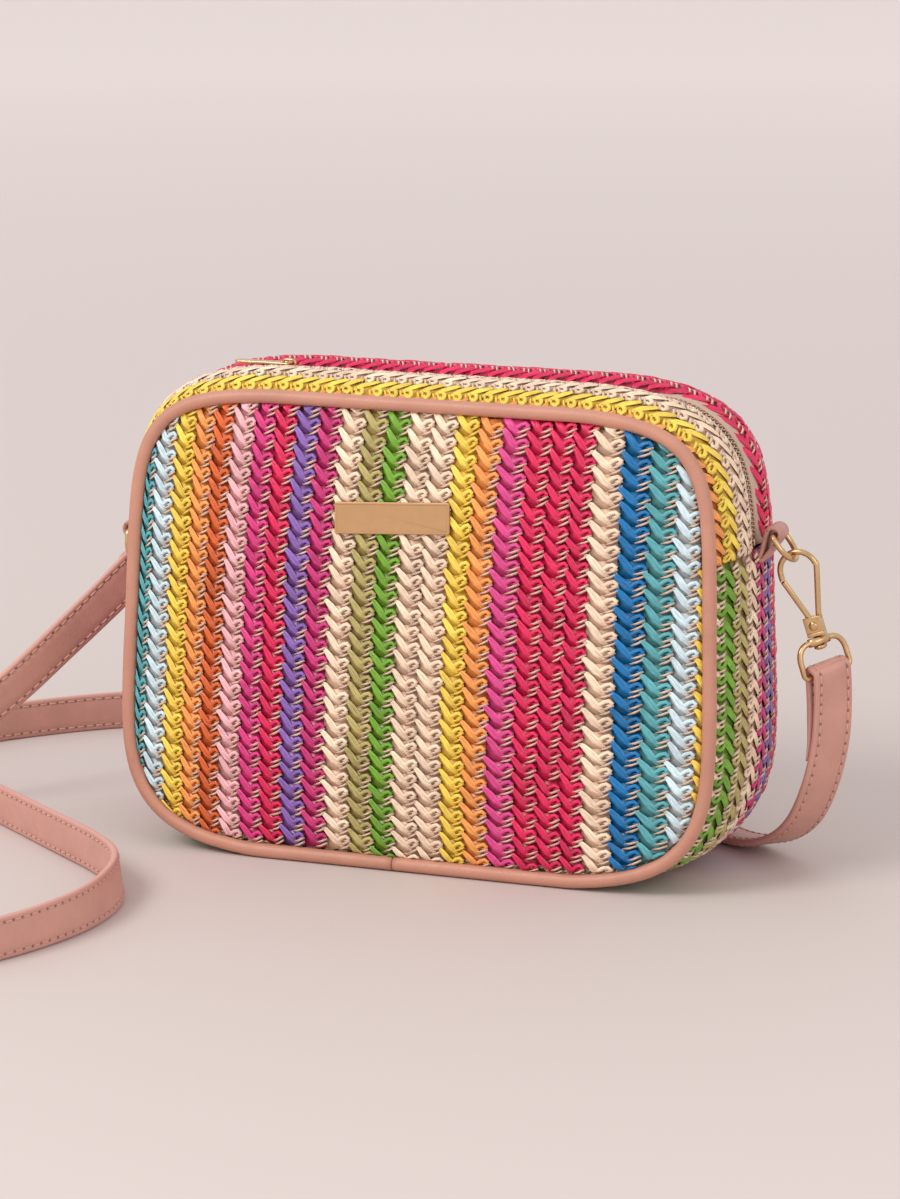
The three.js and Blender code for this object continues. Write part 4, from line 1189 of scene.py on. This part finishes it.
def addZip():
    length = outline["length"]
    tapeTop = -bag["skin"] - 2 * bag["gap"]
    coilMiddle = tapeTop - zipper["tape"] / 2
    half = zipper["coilSplit"] / 2 + 2 * zipper["coil"]
    start = seamShare + 2 * bag["gap"] / length
    stop = zipper["stopLong"] / length
    for end, side in frontAndBack:
        ys = (side * zipper["tapeReach"], side * (half + bag["gap"]))
        tape = bandStrip("tape", (start, 1 - start), ys, tapeTop, zipper["tape"], zipper["tapeSteps"],
                         zipper["tapeRows"], zipSink)
        addPiece(tape, f"zip_tape_{end}_cloth", "bag", zipCloth, f"zip_tape_{end}")
        addCoil(end, side, start + stop + bag["gap"] / length, coilMiddle)

    def stopSink(y):
        return zipSink(0) + zipper["stopRound"] * (np.abs(y) / half) ** 4

    thick = zipper["stopThick"]
    for end, at in (("right", start), ("left", 1 - start - stop)):
        bar = bandStrip("stop", (at, at + stop), (-half, half), coilMiddle + thick / 2, thick,
                        zipper["stopSteps"], zipper["stopRows"], stopSink)
        addPiece(bar, f"zip_stop_{end}_bar", "bag", satinGold, f"zip_stop_{end}")


addZip()
print("zip made")

# zip slider: two plates, a post between them and a bail; the plan is half a plate, in shares of its size
slider = {
    "restX": -58, "length": 7.6, "width": 5.8, "plate": 0.9, "plateEdge": 0.22,
    "plan": [(-1, 0.8), (-0.3, 1), (0.75, 1), (1, 0.55)], "post": (1, 0.3), "postSunk": 0.05,
    "postEdge": 0.08, "bailLength": 5.4, "bailHeight": 2.8, "bailInset": 0.48, "bailSunk": 0.2,
    "bailCorner": 1.2, "bailSection": (0.47, 0.58),
}
# pull: a flat tongue with a square eye; the side and the eye run from the bail, with half their widths
pull = {"length": 20, "width": 4.6, "sheet": 0.9, "edge": 0.18, "sharp": 1.2, "roundFrom": 78,
        "side": [(0.5, 1.7), (-0.1, 2.3), (-3.5, 2.3), (-8, 1.886)], "eye": (-0.5, -3.3), "eyeHalf": 1.2}


def addSlider():
    low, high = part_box("zip_slider")
    foot, top = low.z / mm, high.z / mm - slider["bailHeight"]
    halfLong, halfWide, plate = slider["length"] / 2, slider["width"] / 2, slider["plate"]
    here = moved(slider["restX"], 0, 0)
    shape = bmesh.new()
    plan = [(u * halfLong, v * halfWide) for u, v in slider["plan"]]
    plan = [(u, -v) for u, v in plan] + plan[::-1]
    for base in (top - plate, foot):
        addOutlineSheet(shape, plan, plate, here @ moved(0, 0, base + plate / 2), slider["plateEdge"])
    (x, y), sunk = slider["post"], slider["postSunk"]
    addBlock(shape, (-x, -y, foot + plate - sunk), (x, y, top - plate + sunk), here, slider["postEdge"])
    half, tall = slider["bailLength"] / 2 - slider["bailInset"], slider["bailHeight"] - slider["bailInset"]
    corner, sunk = slider["bailCorner"], slider["bailSunk"]
    arch = [(-half, -sunk), *arc((-half + corner, tall - corner), corner, 180, 90, steps=5)]
    arch += [*arc((half - corner, tall - corner), corner, 90, 0, steps=5), (half, -sunk)]
    upright = here @ moved(0, 0, top) @ Matrix.Rotation(math.radians(90), 4, "X")
    wide, deep = slider["bailSection"]
    section = [(x * wide, y * deep) for x, y in roundSection(1, sides=8)]
    addGold(sweep(shape, section, flatPlaces(arch, upright)), "zip_slider", "body", "slider")


def addPull():
    low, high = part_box("zip_pull")
    side, half = pull["side"], pull["width"] / 2
    (near, far), wide = pull["eye"], pull["eyeHalf"]
    outer = [(side[0][0], -side[0][1]), (side[0][0], 0), *side]
    outer += arc((half - pull["length"], 0), half, pull["roundFrom"], 360 - pull["roundFrom"], steps=18)
    outer += [(u, -v) for u, v in reversed(side[1:])]
    inner = [(near, -wide), (near, 0), (near, wide), (far, wide), (far, 0), (far, -wide)]
    place = moved(slider["restX"], 0, (low.z + high.z) / 2 / mm - pull["sheet"] / 2) @ toMetres
    shape = bmesh.new()
    loops = []
    for points in (outer, inner):
        corners = [shape.verts.new(place @ Vector((u, v, 0))) for u, v in points]
        loops += [shape.edges.new((corners[k - 1], corners[k])) for k in range(len(corners))]
    made = bmesh.ops.triangle_fill(shape, edges=loops, use_beauty=True)["geom"]
    drawOut(shape, only(made, bmesh.types.BMFace), (0, 0, pull["sheet"] * mm))
    closeUp(shape)
    rims = [edge for edge in shape.edges
            if len(edge.link_faces) == 2 and edge.calc_face_angle() > pull["sharp"]
            and abs(edge.verts[0].co.z - edge.verts[1].co.z) < 1e-6]
    soften(shape, rims, pull["edge"] * mm, segments=2)
    addGold(shape, "zip_pull", "tongue", "pull", smooth=False)


addSlider()
addPull()
print("slider and pull made")

# blank plate: a bar with a bevelled rim, laid where the solid lies
plate = {"long": 40.5, "wide": 10.6, "thick": 1.2, "corner": 0.8, "edge": 0.28, "rim": 0.55, "step": 0.12,
         "recess": 0.14}


def addPlate():
    low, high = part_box("front_plate")
    spots = spotsOf(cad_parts["front_plate"].data)
    _, _, axes = np.linalg.svd(spots - spots.mean(0), full_matrices=False)
    along = Vector(axes[0] * np.sign(axes[0][0]))
    out = Vector(axes[2] * -np.sign(axes[2][1]))
    thick = plate["thick"]
    shape = bmesh.new()
    bmesh.ops.create_cube(shape, size=1, matrix=Matrix.Diagonal((plate["long"], plate["wide"], thick, 1)))
    upright = [edge for edge in shape.edges if abs(edge.verts[0].co.z - edge.verts[1].co.z) > thick / 2]
    soften(shape, upright, plate["corner"], segments=5)
    face = max(shape.faces, key=lambda f: f.calc_center_median().z)
    soften(shape, list(face.edges), plate["edge"], segments=3)
    face = max(shape.faces, key=lambda f: (round(f.calc_center_median().z, 4), f.calc_area()))
    bmesh.ops.inset_region(shape, faces=[face], thickness=plate["rim"], depth=0)
    bmesh.ops.inset_region(shape, faces=[face], thickness=plate["step"], depth=-plate["recess"])
    place = placeFrom(along, out.cross(along), out, (low + high) / 2) @ toMetres
    bmesh.ops.transform(shape, matrix=place, verts=shape.verts)
    addGold(shape, "front_plate", "bar", "bag", matteGold, smooth=False)


addPlate()
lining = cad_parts["lining"].data
lining.materials.clear()
lining.materials.append(cotton)
print("plate and lining made")

# a wide pale floor, painted lighter away from the bag, where less of the lamps' light falls; metres
room = {"radius": 9, "segments": 96, "rough": 0.75, "near": 0.0, "far": 3.0,
        "nearTint": tint(208, 196, 192), "farTint": tint(252, 239, 237)}


def addRoom():
    shape = bmesh.new()
    bmesh.ops.create_circle(shape, cap_ends=True, segments=room["segments"], radius=room["radius"])
    mesh = toMesh(shape, "room")
    material, tree, shader = newFinish("roomPaint", room["rough"])
    share = spread(tree, lengthOf(tree, objectCoords(tree)), 0, 1, room["near"], room["far"])
    feed(tree, shader, {"Base Color": blendColour(tree, share, room["nearTint"], room["farTint"])})
    mesh.materials.append(material)
    piece = bpy.data.objects.new("room", mesh)
    scene.collection.objects.link(piece)


# soft light: a pale sky and two round lamps aimed at the bag; metres and watts
sky = {"Color": (1.0, 0.98, 0.97, 1), "Strength": 0.8}
lamps = {
    "key": {"spot": (-0.9, -1.3, 1.5), "size": 0.9, "energy": 20, "color": (1, 0.975, 0.95)},
    "fill": {"spot": (1.4, -1.0, 0.9), "size": 1.2, "energy": 5, "color": (1, 0.96, 0.94)},
}
lampAim = Vector((0, 0, 0.08))


def addLights():
    scene.world = bpy.data.worlds.new("studio")
    scene.world.use_nodes = True
    tree = scene.world.node_tree
    feed(tree, tree.nodes["Background"], sky)
    for name, lamp in lamps.items():
        light = bpy.data.lights.new(name, "AREA")
        light.shape = "DISK"
        for key in ("size", "energy", "color"):
            setattr(light, key, lamp[key])
        holder = bpy.data.objects.new(name, light)
        holder.location = lamp["spot"]
        holder.rotation_euler = (Vector(lamp["spot"]) - lampAim).to_track_quat("Z", "Y").to_euler()
        scene.collection.objects.link(holder)


addRoom()
addLights()
print("room and lights made")
